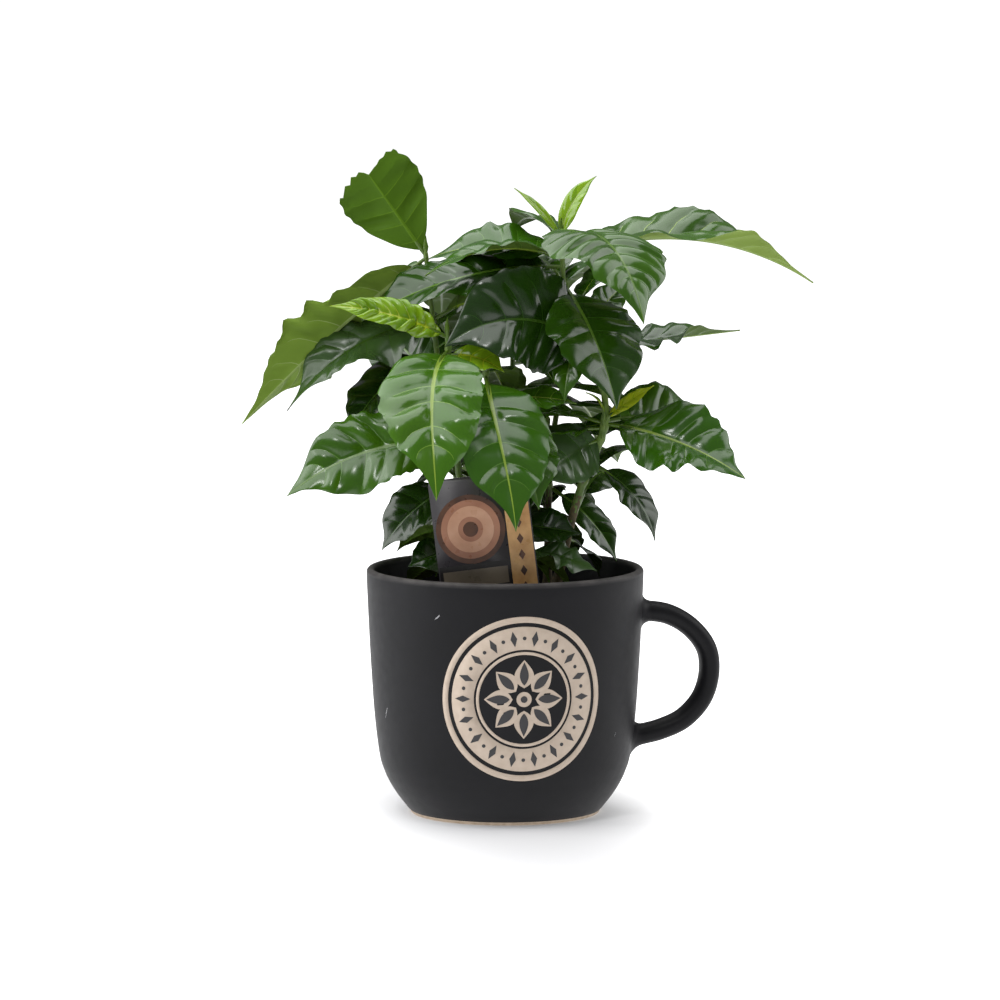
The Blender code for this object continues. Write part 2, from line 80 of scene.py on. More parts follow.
@dataclass
class Graph:
    """Adds and joins the nodes of one tree."""

    tree: bpy.types.NodeTree

    def feed(self, socket: Socket, value: object) -> None:
        """Links an output to an input socket, or sets the socket's value."""
        if isinstance(value, Socket):
            self.tree.links.new(value, socket)
        else:
            socket.default_value = value

    def add(self, kind: str, inputs: dict | None = None, **settings: object) -> bpy.types.Node:
        """Adds a node.

        Args:
            kind: The node's type name.
            inputs: Values or output sockets, by the name or number of the input socket.
            settings: The node's own properties.

        Returns:
            The new node.
        """
        node = self.tree.nodes.new(kind)
        for name, value in settings.items():
            setattr(node, name, value)
        for key, value in (inputs or {}).items():
            self.feed(node.inputs[key], value)
        return node

    def out(self, kind: str, inputs: dict | None = None, **settings: object) -> Socket:
        """Adds a node as add does, and returns its first output."""
        return self.add(kind, inputs, **settings).outputs[0]

    @property
    def given(self) -> bpy.types.bpy_prop_collection:
        """What the group is given."""
        return self.tree.nodes["In"].outputs

    def maths(self, operation: str, *values: object, clamp: bool = False) -> Socket:
        """Works out a sum of up to three values or sockets.

        Args:
            operation: The kind of sum.
            values: What goes in.
            clamp: Whether the result is kept between 0 and 1.

        Returns:
            The result's socket.
        """
        return self.out("ShaderNodeMath", dict(enumerate(values)), operation=operation, use_clamp=clamp)

    def mix(self, share: object, first: object, second: object) -> Socket:
        """Mixes two colours by a share, and returns the result's socket."""
        return self.add("ShaderNodeMix", {0: share, 6: first, 7: second}, data_type="RGBA").outputs[2]

    def noise(self, scale: object, detail: object) -> Socket:
        """Returns noise over the piece's own coordinates, which is about 0.5 on average."""
        place = self.add("ShaderNodeTexCoord").outputs["Object"]
        inputs = {"Vector": place, "Scale": scale, "Detail": detail}
        return self.add("ShaderNodeTexNoise", inputs).outputs["Fac"]

    def dress(self, shapes: Socket, finish: Socket) -> Socket:
        """Makes the instances of a geometry tree real, and returns them in a finish."""
        real = self.out("GeometryNodeRealizeInstances", {"Geometry": shapes})
        return self.out("GeometryNodeSetMaterial", {"Geometry": real, "Material": finish})

    def hand_out(self, value: object, name: str | int = 0) -> None:
        """Feeds one of the group's outputs."""
        self.feed(self.tree.nodes["Out"].inputs[name], value)


def new_group(name: str, kind: str, inputs: dict[str, str], outputs: dict[str, str]) -> Graph:
    """Starts a node group.

    Args:
        name: The group's name.
        kind: The tree's type name.
        inputs: The socket's type by the input's name.
        outputs: The socket's type by the output's name.

    Returns:
        The graph, with an input node named In and an output node named Out.
    """
    tree = bpy.data.node_groups.new(name, kind)
    for way, sockets in (("INPUT", inputs), ("OUTPUT", outputs)):
        for label, socket_type in sockets.items():
            tree.interface.new_socket(label, in_out=way, socket_type="NodeSocket" + socket_type)
    graph = Graph(tree)
    graph.add("NodeGroupInput", name="In")
    graph.add("NodeGroupOutput", name="Out")
    return graph


def geometry_group(name: str, **inputs: str) -> Graph:
    """Starts a geometry tree that takes and hands out a geometry, with more inputs by name and type."""
    geometry = {"Geometry": "Geometry"}
    return new_group(name, "GeometryNodeTree", geometry | inputs, geometry)


class SharedEffects:
    """The shader node groups that several finishes use."""

    @cached_property
    def mottle(self) -> bpy.types.NodeTree:
        """One colour drifts into another in soft patches."""
        sockets = {"Scale": "Float", "Contrast": "Float", "Colour": "Color", "Patches": "Color"}
        graph = new_group("mottle", "ShaderNodeTree", sockets, {"Colour": "Color"})
        given = graph.given
        centred = graph.maths("SUBTRACT", graph.noise(given["Scale"], 5.0), 0.5)
        share = graph.maths("MULTIPLY_ADD", centred, given["Contrast"], 0.5, clamp=True)
        graph.hand_out(graph.mix(share, given["Colour"], given["Patches"]))
        return graph.tree

    @cached_property
    def surface(self) -> bpy.types.NodeTree:
        """A fine relief, and a gloss that wanders between its smoothest and its roughest."""
        names = ("Scale", "Detail", "Depth", "Smoothest", "Roughest")
        sockets = dict.fromkeys(names, "Float")
        graph = new_group("surface", "ShaderNodeTree", sockets, {"Normal": "Vector", "Roughness": "Float"})
        given = graph.given
        relief = {"Height": graph.noise(given["Scale"], given["Detail"]), "Distance": given["Depth"]}
        graph.hand_out(graph.add("ShaderNodeBump", relief).outputs["Normal"], "Normal")
        patches = graph.noise(graph.maths("MULTIPLY", given["Scale"], 0.15), 2.0)
        span = graph.maths("SUBTRACT", given["Roughest"], given["Smoothest"])
        graph.hand_out(graph.maths("MULTIPLY_ADD", patches, span, given["Smoothest"]), "Roughness")
        return graph.tree


EFFECTS = SharedEffects()


# Finishes


@dataclass(frozen=True)
class Finish:
    """A surface finish. Its colour is plain unless it drifts into patches of a second one."""

    name: str
    colour: Colour
    gloss: tuple[float, float] = (0.45, 0.6)  # the smoothest and the roughest
    patches: Colour | None = None
    patch_scale: float = 60.0
    contrast: float = 2.5
    grain_scale: float = 900.0
    grain_depth: float = 0.03
    grain_detail: float = 3.0
    shine: float = 0.5  # the strength of its reflections, 0.5 for most things

    def material(self) -> bpy.types.Material:
        """Returns this finish's material, which is made at its first use."""
        found = bpy.data.materials.get(self.name)
        if found:
            return found
        material = bpy.data.materials.new(self.name)
        material.use_nodes = True
        graph = Graph(material.node_tree)
        shader = graph.tree.nodes["Principled BSDF"].inputs
        shader["Base Color"].default_value = self.colour
        shader["Specular IOR Level"].default_value = self.shine
        if self.patches is not None:
            graph.feed(shader["Base Color"], self.paint(graph))
        smoothest, roughest = self.gloss
        relief = {"Scale": self.grain_scale, "Detail": self.grain_detail, "Depth": self.grain_depth * MM}
        relief |= {"Smoothest": smoothest, "Roughest": roughest}
        surface = graph.add("ShaderNodeGroup", relief, node_tree=EFFECTS.surface).outputs
        graph.feed(shader["Normal"], surface["Normal"])
        graph.feed(shader["Roughness"], surface["Roughness"])
        return material

    def paint(self, graph: Graph) -> Socket:
        """Returns the colour's socket."""
        inputs = {"Scale": self.patch_scale, "Contrast": self.contrast}
        inputs |= {"Colour": self.colour, "Patches": self.patches}
        return graph.add("ShaderNodeGroup", inputs, node_tree=EFFECTS.mottle).outputs["Colour"]


@dataclass(frozen=True)
class LippedGlaze(Finish):
    """A glaze that thins over the lip, where the clay shows through; the lip's paler colour is partly that
    and partly a painted highlight on the rim.
    """

    shine: float = 0.17
    # paler colour of the lip: partly thinner glaze, partly a painted highlight on the rim
    thin_glaze_and_highlight: Colour = tone(112, 108, 106)
    lip_height: float = 110.0
    fade: float = 1.6

    def paint(self, graph: Graph) -> Socket:
        """Returns the colour's socket."""
        glaze = super().paint(graph)
        place = graph.add("ShaderNodeTexCoord").outputs["Object"]
        height = graph.add("ShaderNodeSeparateXYZ", {"Vector": place}).outputs["Z"]
        # blends into the paler colour over the top of the lip, which is partly a painted highlight
        above = graph.maths("SUBTRACT", height, (self.lip_height - self.fade) * MM)
        share = graph.maths("DIVIDE", above, 2.0 * self.fade * MM, clamp=True)
        ragged = graph.maths("MULTIPLY", share, graph.noise(self.patch_scale * 3.0, 3.0))
        return graph.mix(ragged, glaze, self.thin_glaze_and_highlight)


def card_finish(name: str, colour: Colour, patches: Colour, scale: float, contrast: float) -> Finish:
    """A smooth printed colour of the label's card, which drifts into patches of a second one."""
    return Finish("card_" + name, colour, (0.24, 0.34), patches, scale, contrast, 1800.0, 0.01)


# The values in order: name, colour, gloss, colour of the patches, their scale and contrast, then the
# grain's scale and depth.
GLAZE = LippedGlaze(
    "charcoal_glaze", tone(24, 24, 27), (0.42, 0.54), tone(21, 21, 23), 45.0, 2.0, 1400.0, 0.02,
)
BARE_CLAY = Finish(
    "bare_clay", tone(190, 172, 152), (0.8, 0.95), tone(160, 142, 122), 400.0, 2.0, 2500.0, 0.06,
)
INLAY = Finish(
    "inlay_clay", tone(198, 182, 166), (0.6, 0.75), tone(186, 169, 152), 350.0, 2.0, 2500.0, 0.03,
)
INLAY_DARK = Finish(
    "inlay_glaze", tone(44, 43, 46), (0.45, 0.6), tone(50, 49, 51), 300.0, 2.0, 1400.0, 0.02,
)
CHIP = Finish(
    "chipped_glaze", tone(150, 150, 154), (0.6, 0.8), tone(176, 176, 178), 900.0, 3.0, 2500.0, 0.05,
)
PEAT = Finish(
    "peat", tone(38, 28, 20), (0.85, 1.0), tone(66, 48, 32), 350.0, 3.0, 1500.0, 0.6, shine=0.1,
)
CRUMBS = Finish(
    "peat_crumbs", tone(50, 36, 25), (0.85, 1.0), tone(24, 18, 14), 300.0, 3.0, 2500.0, 0.3, shine=0.1,
)
FIBRE = Finish(
    "peat_fibre", tone(104, 78, 50), (0.8, 1.0), tone(70, 50, 32), 300.0, 2.0, 2500.0, 0.1,
)
PERLITE = Finish(
    "perlite", tone(205, 200, 190), (0.8, 1.0), tone(176, 168, 154), 800.0, 2.0, 2500.0, 0.2,
)
BARK = Finish(
    "stem_bark", tone(96, 82, 48), (0.55, 0.75), tone(66, 60, 32), 500.0, 3.0, 2200.0, 0.12,
)
GREEN_STEM = Finish(
    "stem_green", tone(98, 122, 40), (0.4, 0.55), tone(74, 104, 34), 300.0, 2.5, 2000.0, 0.05,
)
CARD_BACK = Finish(
    "card_white", tone(214, 210, 202), (0.3, 0.4), tone(206, 200, 190), 200.0, 1.5, 1800.0, 0.01,
)
CARD_DARK = card_finish("charcoal", tone(44, 42, 45), tone(58, 55, 58), 60.0, 2.0)
CARD_BLACK = card_finish("black", tone(22, 20, 21), tone(32, 28, 27), 60.0, 2.0)
CARD_TAN = card_finish("tan", tone(240, 194, 134), tone(178, 128, 76), 70.0, 3.0)
CARD_BROWN = card_finish("brown", tone(104, 66, 44), tone(66, 42, 30), 90.0, 3.0)
CARD_CLAY = card_finish("clay", tone(192, 138, 110), tone(150, 98, 74), 60.0, 2.5)
CARD_SAND = card_finish("sand", tone(222, 176, 148), tone(190, 138, 108), 60.0, 2.5)
CARD_GREY = card_finish("grey", tone(118, 108, 94), tone(94, 84, 72), 60.0, 2.5)
DEWY, WAXY, SATIN, MATT = (0.08, 0.2), (0.13, 0.29), (0.2, 0.35), (0.5, 0.65)  # glosses of leaves
LEAF_SHINE, MATT_SHINE = 0.62, 0.15


def leaf_finish(name: str, red: int, green: int, blue: int, gloss: tuple[float, float]) -> Finish:
    """A leaf's finish: a plain colour under a waxy skin.

    Args:
        name: The finish's name.
        red: The colour's red, from 0 to 255.
        green: Its green.
        blue: Its blue.
        gloss: The skin's smoothest and roughest.

    Returns:
        The finish.
    """
    shine = MATT_SHINE if gloss == MATT else LEAF_SHINE
    grain = {"grain_scale": 120.0, "grain_depth": 0.7, "grain_detail": 0.0}
    return Finish(name, tone(red, green, blue), gloss, shine=shine, **grain)


# From deep to bright the leaf greens are partly each leaf's own green and partly painted light and shade:
# deep, with under_deep, rib_deep and vein_deep, and dark stand partly for painted shade on leaves inside and
# low in the crown, and fresh and bright partly for painted light on leaves in full light.
LEAF_TINTS = {
    name: leaf_finish("leaf_" + name, *values)
    for name, values in {
        "deep": (20, 46, 3, WAXY),
        "dark": (32, 64, 4, WAXY),
        "dark_old": (27, 56, 4, WAXY),
        "green": (50, 88, 6, WAXY),
        "green_old": (44, 80, 5, WAXY),
        "fresh": (44, 85, 5, WAXY),
        "fresh_old": (47, 86, 8, WAXY),
        "bright": (56, 99, 8, WAXY),
        "bright_old": (59, 99, 10, WAXY),
        "lime": (120, 156, 24, DEWY),
        "young": (108, 146, 20, DEWY),
        "gold": (160, 176, 26, SATIN),
        "backlit": (66, 98, 8, MATT),
        "backlit_rib": (84, 118, 18, MATT),
        "lit": (120, 149, 56, MATT),
        "lit_old": (108, 137, 45, MATT),
        "lit_vein": (152, 175, 102, MATT),
        # a dull grey-green, partly the leaf's own dull colour and partly a painted grey sheen
        "dull_sheen": (50, 76, 34, SATIN),
        "under": (74, 98, 34, MATT),
        "under_deep": (48, 68, 22, MATT),
        "under_lit": (134, 158, 74, MATT),
        "rib_deep": (46, 74, 16, SATIN),
        "rib": (80, 112, 34, SATIN),
        "rib_light": (126, 152, 50, SATIN),
        "vein_deep": (32, 62, 12, WAXY),
        "vein_dark": (48, 82, 22, WAXY),
        "vein": (72, 110, 34, WAXY),
        "vein_light": (104, 142, 46, WAXY),
        "petiole": (76, 104, 24, SATIN),
    }.items()
}


# Meshes


def linked(name: str, data: bpy.types.ID) -> bpy.types.Object:
    """Makes an object of a mesh, lamp or camera and adds it to the scene."""
    thing = bpy.data.objects.new(name, data)
    bpy.context.scene.collection.objects.link(thing)
    return thing


def smooth_object(name: str, mesh: bpy.types.Mesh) -> bpy.types.Object:
    """Shades a mesh smooth and makes an object of it."""
    mesh.polygons.foreach_set("use_smooth", np.ones(len(mesh.polygons), bool))
    return linked(name, mesh)


def new_piece(
    name: str, points: Iterable[Sequence[float]], faces: Sequence[Sequence[int]],
    finishes: Sequence[Finish], picks: Sequence[int] | None = None, creased: Sequence[int] = (),
) -> bpy.types.Object:
    """Makes a smooth-shaded mesh object.

    Args:
        name: The piece's name.
        points: Its points, in millimetres.
        faces: The corners of each face, counter-clockwise seen from outside.
        finishes: The finishes in use.
        picks: The number of each face's finish. All take the first where it is left out.
        creased: The numbers of the points that lie on a sharp edge.

    Returns:
        The new object.
    """
    corners = [list(map(int, face)) for face in faces]
    mesh = bpy.data.meshes.new(name)
    mesh.from_pydata((np.asarray(points, float) * MM).tolist(), [], corners)
    for finish in finishes:
        mesh.materials.append(finish.material())
    if picks is not None:
        mesh.polygons.foreach_set("material_index", np.asarray(picks, np.int32))
    if creased:
        ends = np.empty(len(mesh.edges) * 2, np.int32)
        mesh.edges.foreach_get("vertices", ends)
        sharp = mesh.attributes.new("sharp_edge", "BOOLEAN", "EDGE")
        sharp.data.foreach_set("value", np.isin(ends, creased).reshape(-1, 2).all(axis=1))
    piece = smooth_object(name, mesh)
    mesh.update()
    return piece


@dataclass
class Bag:
    """Gathers shapes that become one piece."""

    finishes: list[Finish]
    points: list = field(default_factory=list)
    faces: list = field(default_factory=list)
    picks: list[int] = field(default_factory=list)
    creased: list[int] = field(default_factory=list)

    def pick(self, finish: Finish) -> int:
        """Returns the number of a finish, which is added at its first use."""
        if finish not in self.finishes:
            self.finishes.append(finish)
        return self.finishes.index(finish)

    def put(
        self, points: np.ndarray, faces: Iterable, finish: Finish | Sequence[Finish],
        creased: Iterable[int] = (),
    ) -> None:
        """Adds a shape.

        Args:
            points: Its points.
            faces: The corners of its faces.
            finish: One finish for all faces, or one for each.
            creased: The numbers of its points that lie on a sharp edge.
        """
        start = len(self.points)
        faces = [[start + corner for corner in face] for face in faces]
        self.points.extend(np.asarray(points, float).reshape(-1, 3).tolist())
        self.faces.extend(faces)
        every = [finish] * len(faces) if isinstance(finish, Finish) else finish
        self.picks.extend(self.pick(one) for one in every)
        self.creased.extend(start + corner for corner in creased)

    def piece(self, name: str, place: Callable | None = None) -> bpy.types.Object:
        """Makes the piece, after an optional change of its points."""
        points = np.array(self.points)
        if place:
            points = place(points)
        return new_piece(name, points, self.faces, self.finishes, self.picks, self.creased)


def full_turn(count: int) -> np.ndarray:
    """Evenly spread angles, in radians, of points round a closed ring."""
    return np.linspace(0.0, 2.0 * math.pi, count, endpoint=False)


def ring_pairs(count: int) -> list[tuple[int, int]]:
    """The number of each corner of a closed ring, with that of the corner after it."""
    return [(corner, (corner + 1) % count) for corner in range(count)]


def grid_faces(rows: int, across: int, closed: bool = False) -> list[tuple[int, ...]]:
    """Faces of a grid of points, row by row.

    Args:
        rows: How many rows of points there are.
        across: How many points a row has.
        closed: Whether each row runs on to its own start.

    Returns:
        The corners of the faces.
    """
    faces = []
    for row in range(rows - 1):
        for column in range(across if closed else across - 1):
            near, far = row * across + column, row * across + (column + 1) % across
            faces.append((near, far, far + across, near + across))
    return faces


def flipped(faces: Iterable[Sequence[int]]) -> list[tuple[int, ...]]:
    """The same faces turned to face the other way, which keep their first corner."""
    return [(face[0], *face[:0:-1]) for face in faces]


def finished(piece: bpy.types.Object, slot: str, *nodes: str) -> bpy.types.Object:
    """Rides a piece on the model, names the solids that it stands for, and logs it."""
    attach(piece, BODY)
    if nodes:
        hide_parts(*nodes)
    solids = ", ".join(nodes) or "no solid"
    LOG.info("%s: %d faces, for %s", piece.name, len(piece.data.polygons), solids)
    return piece


def smooth_path(route: Sequence, count: int, steps: int = 20) -> np.ndarray:
    """Evenly spread places on a smooth curve through a route's points.

    Args:
        route: The points to pass through.
        count: How many places to return.
        steps: How finely each stretch is drawn before it is spread.

    Returns:
        An array of count places.
    """
    route = np.array(route, float)
    ends = np.vstack((2 * route[0] - route[1], route, 2 * route[-1] - route[-2]))
    fine = []
    for index in range(len(route) - 1):
        before, start, end, after = ends[index : index + 4]
        bend = 2 * before - 5 * start + 4 * end - after
        twist = 3 * start - before - 3 * end + after
        for share in np.linspace(0.0, 1.0, steps, endpoint=False):
            fine.append(start + 0.5 * ((end - before) * share + bend * share**2 + twist * share**3))
    fine = np.array([*fine, route[-1]])
    travel = np.concatenate(([0.0], np.cumsum(np.linalg.norm(np.diff(fine, axis=0), axis=1))))
    wanted = np.linspace(0.0, travel[-1], count)
    return np.stack([np.interp(wanted, travel, fine[:, axis]) for axis in range(fine.shape[1])], axis=1)


def from_tree(
    name: str, tree: bpy.types.NodeTree, base: bpy.types.Object, values: dict,
) -> bpy.types.Object:
    """Runs a geometry tree on a base object and keeps the result as a plain mesh.

    Args:
        name: The new piece's name.
        tree: The geometry tree.
        base: The object it runs on, which is removed.
        values: The values of its inputs, by name.

    Returns:
        The new piece.
    """
    modifier = base.modifiers.new("tree", "NODES")
    modifier.node_group = tree
    for socket in tree.interface.items_tree:
        if socket.in_out == "INPUT" and socket.name in values:
            modifier[socket.identifier] = values[socket.name]
    evaluated = base.evaluated_get(bpy.context.evaluated_depsgraph_get())
    mesh = bpy.data.meshes.new_from_object(evaluated)
    mesh.name = name
    bpy.data.objects.remove(base)
    return smooth_object(name, mesh)


# The mug


@dataclass
class Mug:
    """A turned stoneware body with a strap handle."""

    outside: tuple = (
        (42.6, 0.3), (43.0, 1.3), (43.6, 1.8), (45.7, 4.4), (48.9, 8.6), (51.8, 13.2), (54.3, 18.4),
        (56.6, 26.0), (58.9, 44.0), (60.5, 67.0), (61.6, 88.0), (62.3, 104.0),
    )
    height: float = 111.0
    radius: float = 62.4
    wall: float = 3.6
    corner_height: float = 24.0  # the inside runs straight above it
    inner_corner: tuple = ((50.4, 17.6), (46.2, 11.2), (40.4, 7.1))
    floor_radius: float = 35.5
    floor_height: float = 6.0
    foot_ring: tuple = ((0.0, 1.2), (37.5, 1.2), (38.8, 0.9), (39.4, 0.2), (39.9, 0.0), (42.3, 0.0))
    bare_height: float = 1.7
    sides: int = 160
    lip_steps: int = 14
    handle_path: tuple = (
        (52.0, 89.4), (63.0, 90.0), (74.5, 88.2), (84.8, 82.0), (92.0, 72.4),
        (93.3, 61.0), (89.8, 49.6), (81.6, 40.6), (71.2, 35.8), (60.5, 33.2), (50.0, 30.0),
    )
    handle_thickness: float = 9.2
    handle_depth: float = 14.5
    handle_power: float = 0.88  # 1 is an ellipse
    handle_stations: int = 260
    handle_sides: int = 40
    fillet: float = 5.0
    fillet_sink: float = 0.25

    @cached_property
    def side_curve(self) -> np.ndarray:
        """Radius and height along the outside, from the foot up to the lip."""
        return smooth_path(self.outside, 90)

    def outer_radius(self, height: np.ndarray | float) -> np.ndarray:
        """The outer radius at a height."""
        return np.interp(height, self.side_curve[:, 1], self.side_curve[:, 0])

    def wrapped(self, flat: np.ndarray, lift: float) -> np.ndarray:
        """Lays a flat drawing round the wall, facing the front.

        Args:
            flat: Points as across, lift and height.
            lift: How far the drawing's back stands off the wall.

        Returns:
            The points on the wall.
        """
        across, out, height = flat.T
        reach = self.outer_radius(height)
        angle = across / reach
        radius = reach + out + lift
        return np.stack((radius * np.sin(angle), -radius * np.cos(angle), height), axis=1)

    def profile(self) -> np.ndarray:
        """Radius and height from the middle of the underside, over the lip, to the middle of the floor."""
        reach = self.wall / 2
        angles = np.linspace(0.0, math.pi, self.lip_steps + 1)
        circle = np.stack((np.cos(angles), np.sin(angles)), axis=1)
        lip = np.array((self.radius - reach, self.height - reach)) + reach * circle
        upper = self.side_curve[self.side_curve[:, 1] > self.corner_height]
        straight = [(radius - self.wall, height) for radius, height in upper[::-1]]
        floor = [(self.floor_radius, self.floor_height), (0.0, self.floor_height)]
        corner = smooth_path([straight[-1], *self.inner_corner, floor[0]], 14)[1:-1]
        return np.vstack((self.foot_ring, self.side_curve, lip, straight, corner, floor))

    def add_body(self, bag: Bag) -> None:
        """Turns the profile about the mug's axis."""
        sides, profile = self.sides, self.profile()
        rings, angles = profile[1:-1], full_turn(sides)
        heights = np.repeat(rings[:, 1:], sides, axis=1)
        points = np.stack((rings[:, :1] * np.cos(angles), rings[:, :1] * np.sin(angles), heights), axis=2)
        points = points.reshape(-1, 3)
        faces = grid_faces(len(rings), sides, closed=True)
        bare = sides * int(np.argmax(rings[1:, 1] > self.bare_height))
        under, top = len(points), len(points) + 1
        points = np.vstack((points, (0.0, 0.0, profile[0, 1]), (0.0, 0.0, profile[-1, 1])))
        last = (len(rings) - 1) * sides
        caps = [(under, after, side) for side, after in ring_pairs(sides)]
        floor = [(top, last + side, last + after) for side, after in ring_pairs(sides)]
        picks = [BARE_CLAY] * bare + [GLAZE] * (len(faces) - bare) + [BARE_CLAY] * sides + [GLAZE] * sides
        bag.put(points, faces + caps + floor, picks)

    def add_handle(self, bag: Bag) -> None:
        """Sweeps the strap, which runs out over the wall in a round fillet at both ends."""
        path = smooth_path(self.handle_path, self.handle_stations)
        ahead = np.gradient(path, axis=0)
        ahead /= np.linalg.norm(ahead, axis=1)[:, None]
        inside = path[:, 0] < self.outer_radius(path[:, 1]) - self.handle_depth / 2
        path, ahead = path[~inside], ahead[~inside]
        angles = full_turn(self.handle_sides)
        cosine, sine = np.cos(angles), np.sin(angles)
        out = np.sign(cosine) * np.abs(cosine) ** self.handle_power
        wide = np.sign(sine) * np.abs(sine) ** self.handle_power

        def ring(swell: np.ndarray) -> np.ndarray:
            """Points of every section, thickened by a swell at each."""
            thick = (self.handle_thickness / 2 + swell) * out
            depth = (self.handle_depth / 2 + swell) * wide
            across, up = path[:, :1] - ahead[:, 1:] * thick, path[:, 1:] + ahead[:, :1] * thick
            return np.stack((across, depth, up), axis=2)

        def wall_at(points: np.ndarray) -> np.ndarray:
            """How far along X the wall is, level with each point."""
            return np.sqrt(np.maximum(self.outer_radius(points[..., 2]) ** 2 - points[..., 1] ** 2, 0.0))

        plain = ring(np.zeros((len(path), 1)))
        gap = plain[..., 0] - wall_at(plain)
        near = np.clip(1.0 - gap / self.fillet, 0.0, 1.0)
        points = ring(self.fillet * (1.0 - np.sqrt(1.0 - near**2)))
        flared = wall_at(points) + np.maximum(gap, -self.fillet_sink)
        points[..., 0] = np.where(near > 0.0, flared, points[..., 0])
        count = self.handle_sides
        faces = grid_faces(len(path), count, closed=True)
        last = (len(path) - 1) * count
        ends = [tuple(range(count))[::-1], tuple(last + side for side in range(count))]
        bag.put(points, flipped(faces + ends), GLAZE)

    def build(self) -> None:
        """Builds the whole mug as one piece."""
        bag = Bag([GLAZE, BARE_CLAY])
        self.add_body(bag)
        self.add_handle(bag)
        finished(bag.piece("glazed_mug"), "mug_glaze", "mug_body", "mug_handle")


@dataclass
class Medallion:
    """A round inlay of bare clay on the mug's front: rings, a belt of lozenges and a rosette."""

    mug: Mug
    height: float = 59.2
    rings: tuple = ((37.2, 34.5), (32.7, 22.4), (21.4, 20.1))  # outer and inner radius of each
    ring_steps: int = 144
    lift: float = 0.12
    print_lift: float = 0.06  # of the dark shapes over the pale ones
    lozenges: int = 18
    lozenge_radius: float = 27.5
    lozenge_size: tuple = (1.5, 3.6)
    bead_size: tuple = (0.85, 0.85)
    bead_corners: int = 16
    petals: int = 8
    petal_points: int = 13
    petal_reach: tuple = (5.1, 17.8)
    petal_width: float = 4.4
    petal_power: float = 0.8  # under 1 moves its widest place inwards
    core_share: float = 0.45  # of the width, for a petal's dark core and the eye's
    core_inset: float = 1.21
    core_cut: float = 1.8  # how much shorter a core is, of its inset
    eye_radius: float = 3.4
    eye_steps: int = 32

    def repeated(self, name: str, corners: int, count: int, turn: float, size: tuple) -> np.ndarray:
        """Repeats a small shape round the belt by a geometry tree.

        Args:
            name: The tree's name.
            corners: How many corners the shape has.
            count: How many times it is repeated.
            turn: How far round the first one is, in degrees.
            size: Its half width and half height.

        Returns:
            The flat points of each shape, as count by corners by 2.
        """
        graph = geometry_group(
            name, Count="Int", Radius="Float", Turn="Float", Corners="Int", Size="Vector", Finish="Material",
        )
        given = graph.given
        circle = graph.out("GeometryNodeMeshCircle", {"Vertices": given["Count"], "Radius": given["Radius"]})
        inputs = {"Vertices": given["Corners"], "Radius": 1.0}
        shape = graph.out("GeometryNodeMeshCircle", inputs, fill_type="NGON")
        place = {"Vector": graph.out("GeometryNodeInputPosition")}
        outward = graph.out("FunctionNodeAlignRotationToVector", place, axis="Y", pivot_axis="Z")
        inputs = {"Points": circle, "Instance": shape, "Rotation": outward, "Scale": given["Size"]}
        spread = graph.out("GeometryNodeInstanceOnPoints", inputs)
        axis = graph.out("ShaderNodeCombineXYZ", {"Z": given["Turn"]})
        turned = graph.out("GeometryNodeTransform", {"Geometry": spread, "Rotation": axis})
        graph.hand_out(graph.dress(turned, given["Finish"]))
        base = new_piece(name + "_base", [(0.0, 0.0, 0.0)], [], [])
        values = {
            "Count": count, "Radius": self.lozenge_radius, "Turn": math.radians(turn),
            "Corners": corners, "Size": (*size, 1.0), "Finish": INLAY_DARK.material(),
        }
        shapes = from_tree(name, graph.tree, base, values)
        flat = np.array([vertex.co[:2] for vertex in shapes.data.vertices])
        order = [list(polygon.vertices) for polygon in shapes.data.polygons]
        bpy.data.objects.remove(shapes)
        return flat[np.array(order)]

    def add_flat(self, bag: Bag, outline: np.ndarray, lift: float, finish: Finish) -> None:
        """Adds a flat shape that is drawn about the medallion's middle."""
        across, up = outline.T
        points = np.stack((across, np.full(len(outline), lift), up + self.height), axis=1)
        area = np.sum(across * np.roll(up, -1) - np.roll(across, -1) * up)
        bag.put(points, [tuple(range(len(outline)))[:: 1 if area > 0.0 else -1]], finish)

    def add_ring(self, bag: Bag, outer: float, inner: float) -> None:
        """Adds a flat ring with a small edge that goes down to the wall."""
        middle, low = (outer + inner) / 2, -self.lift
        levels = ((outer, low), (outer, 0.0), (middle, 0.0), (inner, 0.0), (inner, low))
        points = [
            (radius * math.cos(angle), level, radius * math.sin(angle) + self.height)
            for radius, level in levels for angle in full_turn(self.ring_steps)
        ]
        bag.put(np.array(points), grid_faces(len(levels), self.ring_steps, closed=True), INLAY)

    def add_rosette(self, bag: Bag) -> None:
        """Adds the petals and the eye in the middle, each with a dark core."""
        near, far = self.petal_reach
        share = np.linspace(0.0, 1.0, self.petal_points)
        layers = ((1.0, 0.0, 0.0, INLAY), (self.core_share, self.core_inset, self.print_lift, INLAY_DARK))
        for angle in full_turn(self.petals):
            turn = np.array(((math.cos(angle), -math.sin(angle)), (math.sin(angle), math.cos(angle))))
            for width_share, inset, lift, finish in layers:
                half = self.petal_width * width_share * np.sin(math.pi * share**self.petal_power)
                reach = near + inset + (far - near - self.core_cut * inset) * share
                edge = np.stack((np.append(half, -half[-2:0:-1]), np.append(reach, reach[-2:0:-1])), axis=1)
                self.add_flat(bag, edge @ turn.T, lift, finish)
        around = full_turn(self.eye_steps)
        disc = self.eye_radius * np.stack((np.cos(around), np.sin(around)), axis=1)
        for width_share, _, lift, finish in layers:
            self.add_flat(bag, width_share * disc, lift, finish)

